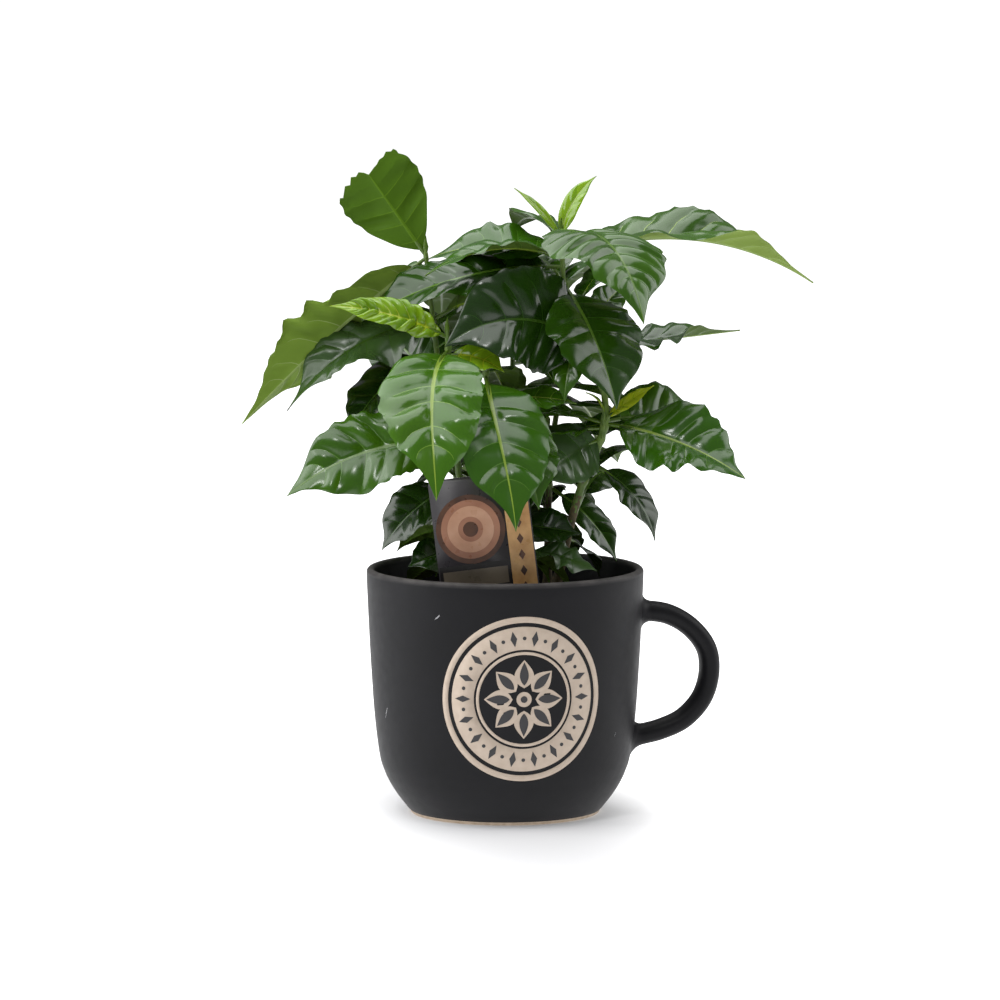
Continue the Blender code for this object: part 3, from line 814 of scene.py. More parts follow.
    def build(self) -> None:
        """Builds the medallion as one piece on the wall."""
        bag = Bag([INLAY, INLAY_DARK])
        for outer, inner in self.rings:
            self.add_ring(bag, outer, inner)
        half_step = 180.0 / self.lozenges
        belts = (
            ("belt_lozenges", 4, 0.0, self.lozenge_size),
            ("belt_beads", self.bead_corners, half_step, self.bead_size),
        )
        for name, corners, turn, size in belts:
            for outline in self.repeated(name, corners, self.lozenges, turn, size):
                self.add_flat(bag, outline, self.print_lift, INLAY_DARK)
        self.add_rosette(bag)
        piece = bag.piece("medallion", lambda points: self.mug.wrapped(points, self.lift))
        finished(piece, "mug_glaze")


@dataclass
class Chips:
    """Small knocks in the glaze: each a few slivers of paler clay."""

    mug: Mug
    knocks: tuple = (  # across, height, lean, size and how many slivers
        (-41.0, 94.2, 42.0, 3.0, 7), (-74.0, 48.5, 75.0, 2.6, 8), (50.0, 39.2, 60.0, 1.3, 3),
    )
    length_shares: tuple = (0.3, 0.9)  # of the knock's size, as the next three
    width_shares: tuple = (0.08, 0.22)
    spread_along: float = 0.5
    spread_aside: float = 0.12
    lean_spread: float = 25.0
    lift: float = 0.05
    seed: int = 5

    def build(self) -> None:
        """Builds the slivers of every knock as one piece."""
        rng = random.Random(self.seed)
        bag = Bag([CHIP])
        for across, height, lean, size, count in self.knocks:
            for _ in range(count):
                length = size * rng.uniform(*self.length_shares)
                width = size * rng.uniform(*self.width_shares)
                angle = math.radians(lean + rng.uniform(-self.lean_spread, self.lean_spread))
                spread = np.array((math.cos(math.radians(lean)), math.sin(math.radians(lean))))
                middle = np.array((across, height)) + spread * rng.gauss(0, size * self.spread_along)
                middle += rng.gauss(0, size * self.spread_aside)
                along = np.array((math.cos(angle), math.sin(angle))) * length / 2
                aside = np.array((-math.sin(angle), math.cos(angle))) * width / 2
                corners = [middle - along, middle - aside, middle + along, middle + aside]
                bag.put(np.array([(x, 0.0, z) for x, z in corners]), [(0, 1, 2, 3)], CHIP)
        piece = bag.piece("glaze_chips", lambda points: self.mug.wrapped(points, self.lift))
        finished(piece, "mug_glaze")


@dataclass
class Soil:
    """Peat that fills the mug, rough on top, with crumbs and fibres on it."""

    mug: Mug
    level: float = 95.0
    gap: float = 0.3
    depth: float = 6.0
    relief: float = 1.1
    lump_sizes: tuple = (18.0, 9.0, 5.0, 2.8)
    waves_each: int = 4
    edge_fade: float = 4.0
    edge_sink: float = 0.4
    rings: int = 34
    sides: int = 120
    crumb_density: float = 90000.0  # to the square metre
    crumb_sizes: tuple = (0.35, 1.3)
    bits: int = 70
    bit_reach: float = 54.0
    bit_lift: float = 0.9
    grain_every: int = 5  # every fifth bit is a grain, and the others are fibres
    seed: int = 3

    def top(self) -> tuple[np.ndarray, list]:
        """Points and faces of the rough top."""
        rng = np.random.default_rng(self.seed)
        edge = float(self.mug.outer_radius(self.level)) - self.mug.wall - self.gap
        radii = np.linspace(0.0, edge, self.rings)[1:]
        angles = full_turn(self.sides)
        x, y = radii[:, None] * np.cos(angles), radii[:, None] * np.sin(angles)
        height = np.zeros_like(x)
        for size in self.lump_sizes:
            for _ in range(self.waves_each):
                angle, phase = rng.uniform(0.0, 2.0 * math.pi, 2)
                wave = (x * math.cos(angle) + y * math.sin(angle)) * 2.0 * math.pi / size + phase
                height += np.sin(wave) * size
        height *= self.relief / np.abs(height).max()
        fade = np.clip((edge - np.hypot(x, y)) / self.edge_fade, 0.0, 1.0)
        z = self.level + height * fade - self.edge_sink * (1.0 - fade)
        points = np.vstack((np.stack((x, y, z), axis=2).reshape(-1, 3), (0.0, 0.0, self.level)))
        faces = flipped(grid_faces(len(radii), self.sides, closed=True))
        faces += [(len(points) - 1, side, after) for side, after in ring_pairs(self.sides)]
        return points, faces

    def scatter(self, sheet: bpy.types.Object) -> bpy.types.Object:
        """Strews crumbs over the top by a geometry tree.

        Args:
            sheet: The soil's top as an open sheet, which is removed.

        Returns:
            The crumbs as one mesh.
        """
        graph = geometry_group(
            "strewn_crumbs", Density="Float", Smallest="Float", Largest="Float", Seed="Int",
            Finish="Material",
        )
        given = graph.given
        inputs = {"Mesh": given["Geometry"], "Density": given["Density"], "Seed": given["Seed"]}
        places = graph.out("GeometryNodeDistributePointsOnFaces", inputs)
        crumb = graph.out("GeometryNodeMeshIcoSphere", {"Radius": 1.0, "Subdivisions": 1})
        dealt = "FunctionNodeRandomValue"
        turn = graph.out(dealt, {1: (6.3, 6.3, 6.3), "Seed": 1}, data_type="FLOAT_VECTOR")
        inputs = {2: given["Smallest"], 3: given["Largest"], "Seed": 2}
        size = graph.add(dealt, inputs, data_type="FLOAT").outputs[1]
        inputs = {0: (0.5, 0.6, 0.3), 1: (1.5, 1.2, 0.9), "Seed": 4}
        squeeze = graph.out(dealt, inputs, data_type="FLOAT_VECTOR")
        scale = graph.out("ShaderNodeVectorMath", {0: squeeze, "Scale": size}, operation="SCALE")
        inputs = {"Points": places, "Instance": crumb, "Rotation": turn, "Scale": scale}
        spread = graph.out("GeometryNodeInstanceOnPoints", inputs)
        graph.hand_out(graph.dress(spread, given["Finish"]))
        smallest, largest = (size * MM for size in self.crumb_sizes)
        values = {
            "Density": self.crumb_density, "Smallest": smallest, "Largest": largest,
            "Seed": self.seed, "Finish": CRUMBS.material(),
        }
        return from_tree("soil_crumbs", graph.tree, sheet, values)

    def build(self) -> None:
        """Builds the soil's top, its crumbs, and a few fibres and white grains."""
        points, faces = self.top()
        count, start = self.sides, len(points)
        edge = start - 1 - count
        lower = points[edge : edge + count] * (1.0, 1.0, 0.0) + (0.0, 0.0, self.level - self.depth)
        wall = [
            (edge + side, start + side, start + after, edge + after) for side, after in ring_pairs(count)
        ]
        bottom = tuple(range(start, start + count))[::-1]
        ground = new_piece("soil_top", np.vstack((points, lower)), [*faces, *wall, bottom], [PEAT])
        crumbs = self.scatter(new_piece("soil_sheet", points, faces, [PEAT]))
        finished(ground, "soil", "potting_soil")
        finished(crumbs, "soil")
        rng = random.Random(self.seed)
        bag = Bag([FIBRE, PERLITE])
        for index in range(self.bits):
            out, angle = self.bit_reach * math.sqrt(rng.random()), rng.uniform(0.0, 2.0 * math.pi)
            middle = np.array((out * math.cos(angle), out * math.sin(angle), self.level + self.bit_lift))
            add_bit = self.add_fibre if index % self.grain_every else self.add_grain
            add_bit(bag, middle, rng)
        finished(bag.piece("soil_bits"), "soil")

    def add_fibre(self, bag: Bag, middle: np.ndarray, rng: random.Random) -> None:
        """Adds one bent fibre."""
        turn, length = rng.uniform(0.0, math.pi), rng.uniform(1.5, 5.0)
        along = np.array((math.cos(turn), math.sin(turn), rng.uniform(-0.15, 0.15))) * length / 2
        path = np.array([middle - along, middle + np.array((0.0, 0.0, 0.4)), middle + along])
        add_tube(bag, path, np.array((0.1, 0.2, 0.08)), 4, FIBRE)

    def add_grain(self, bag: Bag, middle: np.ndarray, rng: random.Random) -> None:
        """Adds one white grain."""
        size = rng.uniform(0.5, 1.1)
        route = ((-size, 0.0, 0.0), (-size * 0.5, 0.0, 0.1), (size * 0.6, 0.1, 0.0), (size, 0.0, 0.0))
        add_tube(bag, middle + np.array(route), np.array((0.3, 0.9, 0.8, 0.25)) * size, 6, PERLITE)


def add_tube(bag: Bag, path: np.ndarray, radii: np.ndarray, sides: int, finish: Finish) -> None:
    """Adds a closed tube along a path.

    Args:
        bag: Where it goes.
        path: Its places.
        radii: Its radius at each place.
        sides: How many sides it has.
        finish: Its finish.
    """
    ahead = np.gradient(path, axis=0)
    ahead /= np.linalg.norm(ahead, axis=1)[:, None]
    aside = np.cross(ahead, (0.0, 0.0, 1.0) if abs(ahead[0, 2]) < 0.9 else (1.0, 0.0, 0.0))
    aside /= np.linalg.norm(aside, axis=1)[:, None]
    up = np.cross(aside, ahead)
    angles = full_turn(sides)[None, :, None]
    spokes = aside[:, None] * np.cos(angles) + up[:, None] * np.sin(angles)
    points = path[:, None] + radii[:, None, None] * spokes
    last = (len(path) - 1) * sides
    ends = [tuple(range(sides)), tuple(last + side for side in range(sides))[::-1]]
    faces = [face[::-1] for face in grid_faces(len(path), sides, closed=True)]
    bag.put(points, faces + ends, finish)


@dataclass
class Label:
    """A printed card with a pointed foot, pushed into the soil."""

    width: float = 44.0
    thickness: float = 0.8
    pivot: tuple = (-6.6, -31.0, 105.0)
    above: float = 51.0
    shoulder: float = 20.0
    below: float = 45.0
    point_width: float = 9.0
    lean: float = 7.0
    tilt: float = 3.0
    corner: float = 2.5
    print_lift: float = 0.04
    bare: tuple = (0.6, 1.0, 0.8)  # the bare card beside, under and over the print
    strip: float = 11.5  # the tan strip on its right
    field_top: float = 12.0  # of the black field beside the strip
    emblem_middle: tuple = (-5.5, 27.5)
    emblem_discs: tuple = (  # radius and finish, each over the one before
        (15.5, CARD_BROWN), (13.2, CARD_CLAY), (10.4, CARD_SAND), (5.6, CARD_CLAY), (3.4, CARD_BROWN),
    )
    band_inset: tuple = (1.4, 1.6)  # of the grey band, from the print's left side and from the strip
    band_levels: tuple = (2.0, 9.5)
    lozenges: int = 9
    lozenge_foot: float = -8.0
    lozenge_step: float = 7.2
    lozenge_half: tuple = (1.5, 2.4)

    def frame(self) -> tuple[np.ndarray, np.ndarray]:
        """The card's turn and its pivot, which lies in its plane at the height of the rim."""
        tilt = Matrix.Rotation(math.radians(-self.tilt), 3, "X")
        lean = Matrix.Rotation(math.radians(-self.lean), 3, "Y")
        return np.array(tilt @ lean), np.array(self.pivot)

    def placed(self, points: np.ndarray) -> np.ndarray:
        """Moves points of the card's plane to their place in the mug."""
        turn, pivot = self.frame()
        return in_world(points @ turn.T + pivot)

    def outline(self) -> list[tuple[float, float]]:
        """Corners of the card about its pivot, anticlockwise from the front, with rounded top corners."""
        half, point = self.width / 2, self.point_width / 2
        corners = [(-half, -self.shoulder), (-point, -self.below)]
        corners += [(point, -self.below), (half, -self.shoulder)]
        for start, x in ((0.0, half - self.corner), (90.0, -half + self.corner)):
            for angle in np.radians(np.linspace(start, start + 90.0, 6)):
                rise = self.above - self.corner + self.corner * math.sin(angle)
                corners.append((x + self.corner * math.cos(angle), rise))
        return corners

    def add_print(self, bag: Bag, outline: Iterable, layer: int, finish: Finish) -> None:
        """Adds a printed area on the card's face."""
        level = -self.thickness / 2 - self.print_lift * layer
        points = np.array([(x, level, z) for x, z in outline])
        bag.put(points, [tuple(range(len(points)))], finish)

    @staticmethod
    def disc(x: float, z: float, radius: float) -> list:
        """Points round a disc."""
        return [(x + radius * math.cos(angle), z + radius * math.sin(angle)) for angle in full_turn(40)]

    @staticmethod
    def oblong(left: float, right: float, foot: float, top: float) -> list:
        """Corners of an upright oblong."""
        return [(left, foot), (right, foot), (right, top), (left, top)]

    @staticmethod
    def lozenge(x: float, z: float, half_width: float, half_height: float) -> list:
        """Corners of a lozenge."""
        return [(x - half_width, z), (x, z - half_height), (x + half_width, z), (x, z + half_height)]

    def build(self) -> None:
        """Builds the card and the plain shapes that are printed on it."""
        bag = Bag([CARD_BACK])
        outline = self.outline()
        count, half = len(outline), self.thickness / 2
        points = [(x, y, z) for y in (-half, half) for x, z in outline]
        edges = [(side + count, after + count, after, side) for side, after in ring_pairs(count)]
        faces = [tuple(range(count)), tuple(range(count, 2 * count))[::-1], *edges]
        bag.put(np.array(points), faces, [CARD_DARK, CARD_BACK] + [CARD_BACK] * count)
        beside, under, over = self.bare
        right = self.width / 2 - beside
        left, seam = -right, self.width / 2 - self.strip
        foot, top = under - self.shoulder, self.above - over
        self.add_print(bag, self.oblong(left, seam, foot, self.field_top), 1, CARD_BLACK)
        for layer, (radius, finish) in enumerate(self.emblem_discs, 2):
            self.add_print(bag, self.disc(*self.emblem_middle, radius), layer, finish)
        band = self.oblong(left + self.band_inset[0], seam - self.band_inset[1], *self.band_levels)
        self.add_print(bag, band, 2, CARD_GREY)
        strip_layer = len(self.emblem_discs) + 2
        self.add_print(bag, self.oblong(seam, right, foot, top), strip_layer, CARD_TAN)
        for step in range(self.lozenges):
            level = self.lozenge_foot + step * self.lozenge_step
            shape = self.lozenge((seam + right) / 2, level, *self.lozenge_half)
            self.add_print(bag, shape, strip_layer + 1, CARD_BROWN)
        finished(bag.piece("printed_label", self.placed), "label_card", "plant_label")

    def cloud(self) -> tuple[np.ndarray, np.ndarray]:
        """Points over the card above the soil, in the plant's frame, which no leaf may touch."""
        turn, pivot = self.frame()
        across = np.linspace(-0.5, 0.5, 12) * self.width
        up = np.linspace(Plant.soil_level - pivot[2], self.above, 18)
        flat = np.array([(x, 0.0, z) for x in across for z in up])
        return flat @ turn.T + pivot, np.ones(len(flat))


# The plant. Its own frame is turned from the mug's: in it a heading of 0 is +X and 90 is +Y.


class Tint(Enum):
    """A leaf's colouring: its two panel tints, its underside, midrib and veins."""

    # DEEP and DARK partly paint shade, and FRESH and BRIGHT partly paint light, on the leaves that carry
    # them.
    DEEP = ("deep", "deep", "under_deep", "rib_deep", "vein_deep")
    DARK = ("dark", "dark_old", "under", "rib", "vein_dark")
    GREEN = ("green", "green_old", "under", "rib", "vein")
    FRESH = ("fresh", "fresh_old", "under", "rib_light", "vein")
    BRIGHT = ("bright", "bright_old", "under_lit", "rib_light", "vein_light")
    LIME = ("lime", "young", "under_lit", "gold", "gold")
    BUD = ("lime", "young", "lime", "rib_light", "young")
    GOLD = ("gold", "lime", "gold", "gold", "lime")
    BACKLIT = ("backlit", "backlit", "backlit", "backlit_rib", "backlit_rib")
    LIT = ("lit", "lit_old", "lit", "lit_vein", "lit_vein")
    # dull grey-green: partly the leaf's own colour, partly a painted grey sheen
    DULL_SHEEN = ("dull_sheen", "dull_sheen", "under_deep", "rib_deep", "vein_dark")
    PALE_UNDER = ("green", "green_old", "under_lit", "lit_vein", "lit_vein")

    def finishes(self) -> list[Finish]:
        """The five finishes, in the order of the value."""
        return [LEAF_TINTS[name] for name in self.value]


@dataclass(frozen=True)
class Leaf:
    """One leaf. Its direction falls from rise by droop, and turns from heading by sweep, up to its tip."""

    height: float
    heading: float
    length: float
    width: float
    rise: float
    droop: float
    sweep: float = 0.0
    roll: float = 0.0
    twist: float = 0.0
    fold: float = 12.0
    petiole: float = 7.0
    base_power: float = 0.75
    tip_power: float = 1.05
    young: bool = False
    tint: Tint | None = None
    left_tint: Tint | None = None  # the left half's, where it is another
    wave: float = 1.0  # how much its margin waves
    cup: float = 0.08  # how far its margins bend down again, of its half width
    quilt: float = 1.0  # how much it bulges between its veins
    notch: float = 0.0  # how deeply its end is notched
    drip: float = 0.45  # how much its tip is drawn out
    veins: int = 0  # pairs of veins, or 0 for what its length gives


@dataclass(frozen=True)
class Seedling:
    """A stem from the soil to its growing tip.

    tiers are the heights at which its shoots start, leaves are set one by one, and pairs are the
    height and heading of further nodes, whose leaves the seeded rule grows.
    """

    name: str
    path: tuple
    foot_radius: float
    tiers: tuple
    leaves: tuple
    pairs: tuple = ()

    @property
    def top(self) -> float:
        """The height of its growing tip."""
        return self.path[-1][2]

    def middle(self, height: float) -> np.ndarray:
        """The middle of the stem at a height, on a smooth curve through its path."""
        path = np.array(self.path, float)
        slopes = np.gradient(path[:, :2], path[:, 2], axis=0)
        span = int(np.clip(np.searchsorted(path[:, 2], height) - 1, 0, len(path) - 2))
        low, high = path[span], path[span + 1]
        run = high[2] - low[2]
        share = (height - low[2]) / run
        ease = share * share * (3.0 - 2.0 * share)
        leave = share * (1.0 - share) ** 2 * run
        arrive = share * share * (share - 1.0) * run
        x, y = low[:2] + (high - low)[:2] * ease + slopes[span] * leave + slopes[span + 1] * arrive
        return np.array((x, y, height))

    def radius(self, height: float) -> float:
        """The stem's radius, which tapers to the tip and flares at the root."""
        share = (height - Plant.soil_level) / (self.top - Plant.soil_level)
        flare = Plant.stem_flare * math.exp(-(height - Plant.soil_level) / Plant.flare_height)
        return self.foot_radius + (Plant.stem_top_radius - self.foot_radius) * share + flare


# The numbers of a leaf in order: height, heading, length, width, rise and droop.
SEEDLINGS = (
    Seedling(
        "tall", ((21, -4, 95), (34, -3, 147), (45, -1, 178), (40, 2, 206), (29, 6, 227), (25, 8, 261)), 2.3,
        (124, 190, 245),
        (
            Leaf(259, 185, 29, 6, 56, 20, roll=-40, petiole=2, young=True, tint=Tint.BUD,
                 wave=0.3, quilt=0.4),
            Leaf(259, -8, 31, 10, 80, 42, roll=60, petiole=2, young=True, tint=Tint.BUD,
                 wave=0.3, quilt=0.4),
            Leaf(257, -64, 90, 54, 20, 88, roll=-4, fold=4, tint=Tint.GREEN, cup=0.2, quilt=1.3, veins=11),
            Leaf(251, 158, 60, 34, 12, 34, roll=-24, tint=Tint.FRESH, wave=1.2),
            Leaf(250, 12, 115, 44, 18, 52, roll=6, fold=26, tint=Tint.PALE_UNDER, wave=1.5),
            Leaf(246, 184, 88, 42, 0, 32, roll=-26, tint=Tint.DARK, wave=1.4),
            Leaf(203, 214, 74, 50, 46, 87, sweep=-30, roll=-66, petiole=9, tint=Tint.DEEP),
            Leaf(238, -60, 64, 46, -35, 30, tint=Tint.DARK, quilt=1.3),
            Leaf(178, -10, 25, 9, 38, 6, roll=40, petiole=2, young=True, tint=Tint.GOLD, wave=0.5),
            Leaf(178, 176, 14, 5, 84, 70, petiole=2, young=True, tint=Tint.LIME, wave=0.3),
            Leaf(176, -20, 64, 44, -7, 26, roll=34, tint=Tint.FRESH, wave=1.6),
            Leaf(177, 26, 52, 42, 6, 34, roll=34, tint=Tint.GREEN),
            Leaf(174, 178, 32, 28, -4, 20, roll=-8, tint=Tint.GREEN),
            Leaf(169, 200, 34, 32, -20, 20, roll=-60, petiole=2, tint=Tint.DULL_SHEEN),
            Leaf(158, -12, 40, 24, -28, 50, roll=20, tint=Tint.DEEP),
        ),
        ((236, 90), (218, 20), (192, 90), (150, 80)),
    ),
    Seedling(
        "left_back", ((-12, 17, 95), (-30, 19, 200), (-36, 20, 252)), 2.0, (150,),
        (
            Leaf(250, 180, 47, 40, 55, 0, roll=84, petiole=3, base_power=0.9, tip_power=0.4,
                 tint=Tint.BACKLIT, wave=0.6, notch=0.22, drip=0.0),
            Leaf(249, 186, 105, 46, -37, 10, roll=45, tint=Tint.LIT, wave=1.5),
            Leaf(221, 196, 74, 42, -10, 44, roll=-24, base_power=0.6, tip_power=1.4, tint=Tint.DULL_SHEEN,
                 wave=2.6),
            Leaf(204, 200, 50, 36, -18, 50, roll=-20, tint=Tint.DEEP),
        ),
        ((234, 84), (214, 100), (190, 30), (168, 100)),
    ),
    Seedling(
        "left_front", ((-15, -6, 95), (-23, -12, 180), (-26, -14, 218)), 2.0, (116,),
        (
            Leaf(216, 192, 53, 20, 27, 24, roll=-42, petiole=3, young=True, tint=Tint.LIME,
                 quilt=3.2, veins=11),
            Leaf(208, -20, 26, 18, 4, 40, roll=30, petiole=2, young=True, tint=Tint.LIME, quilt=1.5),
            Leaf(210, -105, 88, 48, -12, 66, sweep=30, tint=Tint.BRIGHT, quilt=1.2),
            Leaf(169, 188, 75, 40, 2, 42, roll=-54, fold=6, tint=Tint.GREEN, wave=1.4, quilt=1.2),
            Leaf(150, 186, 40, 28, -25, 36, roll=-40, tint=Tint.DEEP),
            Leaf(120, 200, 24, 20, -6, 20, roll=-40, petiole=5, tint=Tint.DEEP),
        ),
        ((190, 100), (138, 80)),
    ),
    Seedling(
        "front", ((4, -13, 95), (-4, -15, 160), (-9, -17, 202)), 2.0, (114,),
        (
            Leaf(199, -84, 80, 46, -26, 52, sweep=24, tint=Tint.FRESH, quilt=0.8, wave=0.7),
            Leaf(190, -58, 58, 38, -30, 40, tint=Tint.GREEN),
            Leaf(188, 8, 28, 16, 4, 20, roll=30, petiole=12, tint=Tint.BRIGHT),
            Leaf(132, 4, 28, 22, -4, 10, roll=40, tint=Tint.DEEP),
            Leaf(121, -20, 32, 20, -4, 20, roll=20, petiole=12, tint=Tint.DULL_SHEEN, wave=2.5),
        ),
        ((172, 100), (150, 100)),
    ),
    Seedling(
        "back", ((2, 26, 95), (4, 34, 238)), 2.0, (140,),
        (),
        ((236, 100), (222, 10), (206, 100), (188, 20), (170, 100), (152, 10), (145, 100)),
    ),
    Seedling(
        "right_back", ((19, 22, 95), (22, 22, 170), (32, 26, 218)), 2.0, (130,),
        (
            Leaf(207, 6, 71, 34, 6, 0, fold=14, tint=Tint.FRESH, wave=2.4),
            Leaf(145, -15, 40, 20, -32, 34, roll=30, tint=Tint.DARK),
        ),
        ((216, 80), (198, 160), (182, 70), (166, 150), (150, 60), (132, 80)),
    ),
)


def in_world(points: np.ndarray) -> np.ndarray:
    """Turns points of the plant's frame into the mug's."""
    angle = math.radians(Plant.turn)
    cosine, sine = math.cos(angle), math.sin(angle)
    turn = np.array(((cosine, -sine, 0.0), (sine, cosine, 0.0), (0.0, 0.0, 1.0)))
    return np.asarray(points, float) @ turn.T


def frame_along(leaf: Leaf, steps: int) -> tuple[np.ndarray, np.ndarray, np.ndarray]:
    """Directions along a leaf.

    Args:
        leaf: The leaf.
        steps: How many steps its midrib has.

    Returns:
        The midrib's direction, and the blade's side and normal, at steps + 1 places.
    """
    share = np.linspace(0.0, 1.0, steps + 1)
    pitch = np.radians(leaf.rise - leaf.droop * share)
    turn = np.radians(leaf.heading + leaf.sweep * share)
    roll = np.radians(leaf.roll + leaf.twist * share)[:, None]
    ahead = np.stack((np.cos(pitch) * np.cos(turn), np.cos(pitch) * np.sin(turn), np.sin(pitch)), axis=1)
    level = np.stack((-np.sin(turn), np.cos(turn), np.zeros_like(turn)), axis=1)
    up = np.cross(ahead, level)
    return ahead, level * np.cos(roll) + up * np.sin(roll), up * np.cos(roll) - level * np.sin(roll)


def half_width(leaf: Leaf, share: np.ndarray) -> np.ndarray:
    """Half width of the blade at a share of its length, from 0 at the base to 0 at the tip."""
    widest = leaf.base_power / (leaf.base_power + leaf.tip_power)
    rising = (share / widest) ** leaf.base_power
    falling = ((1.0 - share) / (1.0 - widest)) ** leaf.tip_power
    return 0.5 * leaf.width * rising * falling


def midrib_of(leaf: Leaf, node: np.ndarray, steps: int) -> np.ndarray:
    """Places along the midrib, from the blade's base to its tip."""
    ahead, _, _ = frame_along(leaf, steps)
    legs = (ahead[1:] + ahead[:-1]) * 0.5 * leaf.length / steps
    travel = np.concatenate((np.zeros((1, 3)), np.cumsum(legs, axis=0)))
    return np.asarray(node, float) + ahead[0] * leaf.petiole + travel


@dataclass
class Growth:
    """The seeded rule that fills the crown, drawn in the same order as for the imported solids."""

    seed: int = 11
    leaf_steps: int = 64
    cloud_stations: int = 33
    cloud_across: int = 9
    stem_step: float = 2.0
    touch: float = 2.6
    near_node: float = 0.3
    lengths: tuple = (66.0, 96.0)
    width_shares: tuple = (0.42, 0.48)
    rises: tuple = (0.0, 34.0)
    droops: tuple = (44.0, 84.0)
    headings: tuple = (-22.0, 22.0)  # how far a leaf's heading strays, as in twig_headings
    sweeps: tuple = (-14.0, 14.0)
    rolls: tuple = (-18.0, 18.0)
    folds: tuple = (8.0, 20.0)
    tries: int = 40
    shrink: float = 0.4
    crown_left: tuple = (
        (104, 48), (150, 52), (160, 74), (178, 82), (190, 62), (205, 76), (232, 80), (248, 56), (262, 20),
    )
    crown_right: tuple = (
        (104, 46), (142, 46), (152, 60), (166, 86), (184, 82), (193, 56), (236, 56), (250, 66), (262, 28),
    )
    crown_depth: float = 98.0
    crown_front: float = -22.0
    crown_slant: float = 0.12
    rim_clearance: float = 5.0
    soil_clearance: float = 4.0
    young_reach: float = 25.0
    young_share: float = 0.7
    mug_height: float = 111.0
    mouth_radius: float = 58.8
    twig_seed: int = 5
    twig_spacing: float = 4.0
    twig_gap: float = 6.0  # from the highest twig to the growing tip
    twig_lengths: tuple = (34.0, 80.0)
    twig_width_shares: tuple = (0.44, 0.56)
    twig_rises: tuple = (-30.0, 40.0)
    twig_droops: tuple = (10.0, 70.0)
    twig_headings: tuple = (-40.0, 40.0)
    twig_rolls: tuple = (-45.0, 45.0)
    twig_folds: tuple = (6.0, 18.0)
    twig_stalks: tuple = (4.0, 18.0)
    twig_tries: int = 90
    twig_touch: float = 1.5
    shade_cell: float = 2.5
    side_weight: float = 0.4
    least_light: float = 8.0
    openings: tuple = (  # gaps that stay open seen from the front: across, up and radius
        (11.2, 253.0, 5.0), (-20.3, 234.5, 5.0), (-39.2, 229.0, 2.5), (-28.7, 229.9, 3.0), (8.0, 196.7, 6.0),
        (55.4, 225.3, 3.0), (40.8, 179.4, 2.0), (48.3, 179.9, 2.7), (49.0, 173.7, 2.6), (21.0, 169.0, 2.4),
        (25.3, 138.0, 1.8),
    )
    view_slope: float = 0.1  # how steeply the front view looks down through the openings

    def cloud(self, leaf: Leaf, seedling: Seedling) -> tuple[np.ndarray, np.ndarray]:
        """Points spread over a leaf's blade, with their share of the way to its tip."""
        _, side, normal = frame_along(leaf, self.leaf_steps)
        midrib = midrib_of(leaf, seedling.middle(leaf.height), self.leaf_steps)
        picked = np.linspace(0, self.leaf_steps, self.cloud_stations).round().astype(int)
        half = half_width(leaf, picked / self.leaf_steps)[:, None, None]
        place = np.linspace(-1.0, 1.0, self.cloud_across)[None, :, None]
        fold = math.radians(leaf.fold)
        points = (
            midrib[picked][:, None]
            + side[picked][:, None] * place * half * math.cos(fold)
            + normal[picked][:, None] * np.abs(place) * half * math.sin(fold)
        )
        share = np.repeat(np.linspace(0.0, 1.0, self.cloud_stations), self.cloud_across)
        return points.reshape(-1, 3), share

    def in_space(self, points: np.ndarray) -> bool:
        """Whether a leaf keeps inside the crown, and above the mug's rim where it passes over it."""
        x, y, z = points.T
        level = z + self.crown_slant * y
        left = np.interp(level, *zip(*self.crown_left))
        right = np.interp(level, *zip(*self.crown_right))
        in_mug = np.hypot(x, y) < self.mouth_radius - self.rim_clearance
        above = z > Plant.soil_level + self.soil_clearance
        over_rim = (z > self.mug_height + self.rim_clearance) | (in_mug & above)
        inside = (x > -left) & (x < right) & (y > self.crown_front) & (y < self.crown_depth) & over_rim
        return bool(np.all(inside))

    def clears(
        self, points: np.ndarray, share: np.ndarray, seedling: Seedling, placed: list, touch: float,
    ) -> bool:
        """Whether a leaf stays clear of the placed ones. Leaves of one stem may meet near it."""
        outer = share > self.near_node
        for other, other_points, other_share in placed:
            mine, theirs = points, other_points
            if other is seedling:
                mine, theirs = points[outer], other_points[other_share > self.near_node]
            if len(theirs) == 0:
                continue
            low, high = theirs.min(axis=0) - touch, theirs.max(axis=0) + touch
            close = mine[np.all((mine > low) & (mine < high), axis=1)]
            if len(close) and np.linalg.norm(close[:, None] - theirs[None], axis=2).min() < touch:
                return False
        return True

    def ruled_leaf(self, rng: random.Random, height: float, heading: float, length_share: float) -> Leaf:
        """One leaf of the seeded rule."""
        length = rng.uniform(*self.lengths) * length_share
        return Leaf(
            height, heading + rng.uniform(*self.headings), length, length * rng.uniform(*self.width_shares),
            rng.uniform(*self.rises), rng.uniform(*self.droops), sweep=rng.uniform(*self.sweeps),
            roll=rng.uniform(*self.rolls), fold=rng.uniform(*self.folds),
        )

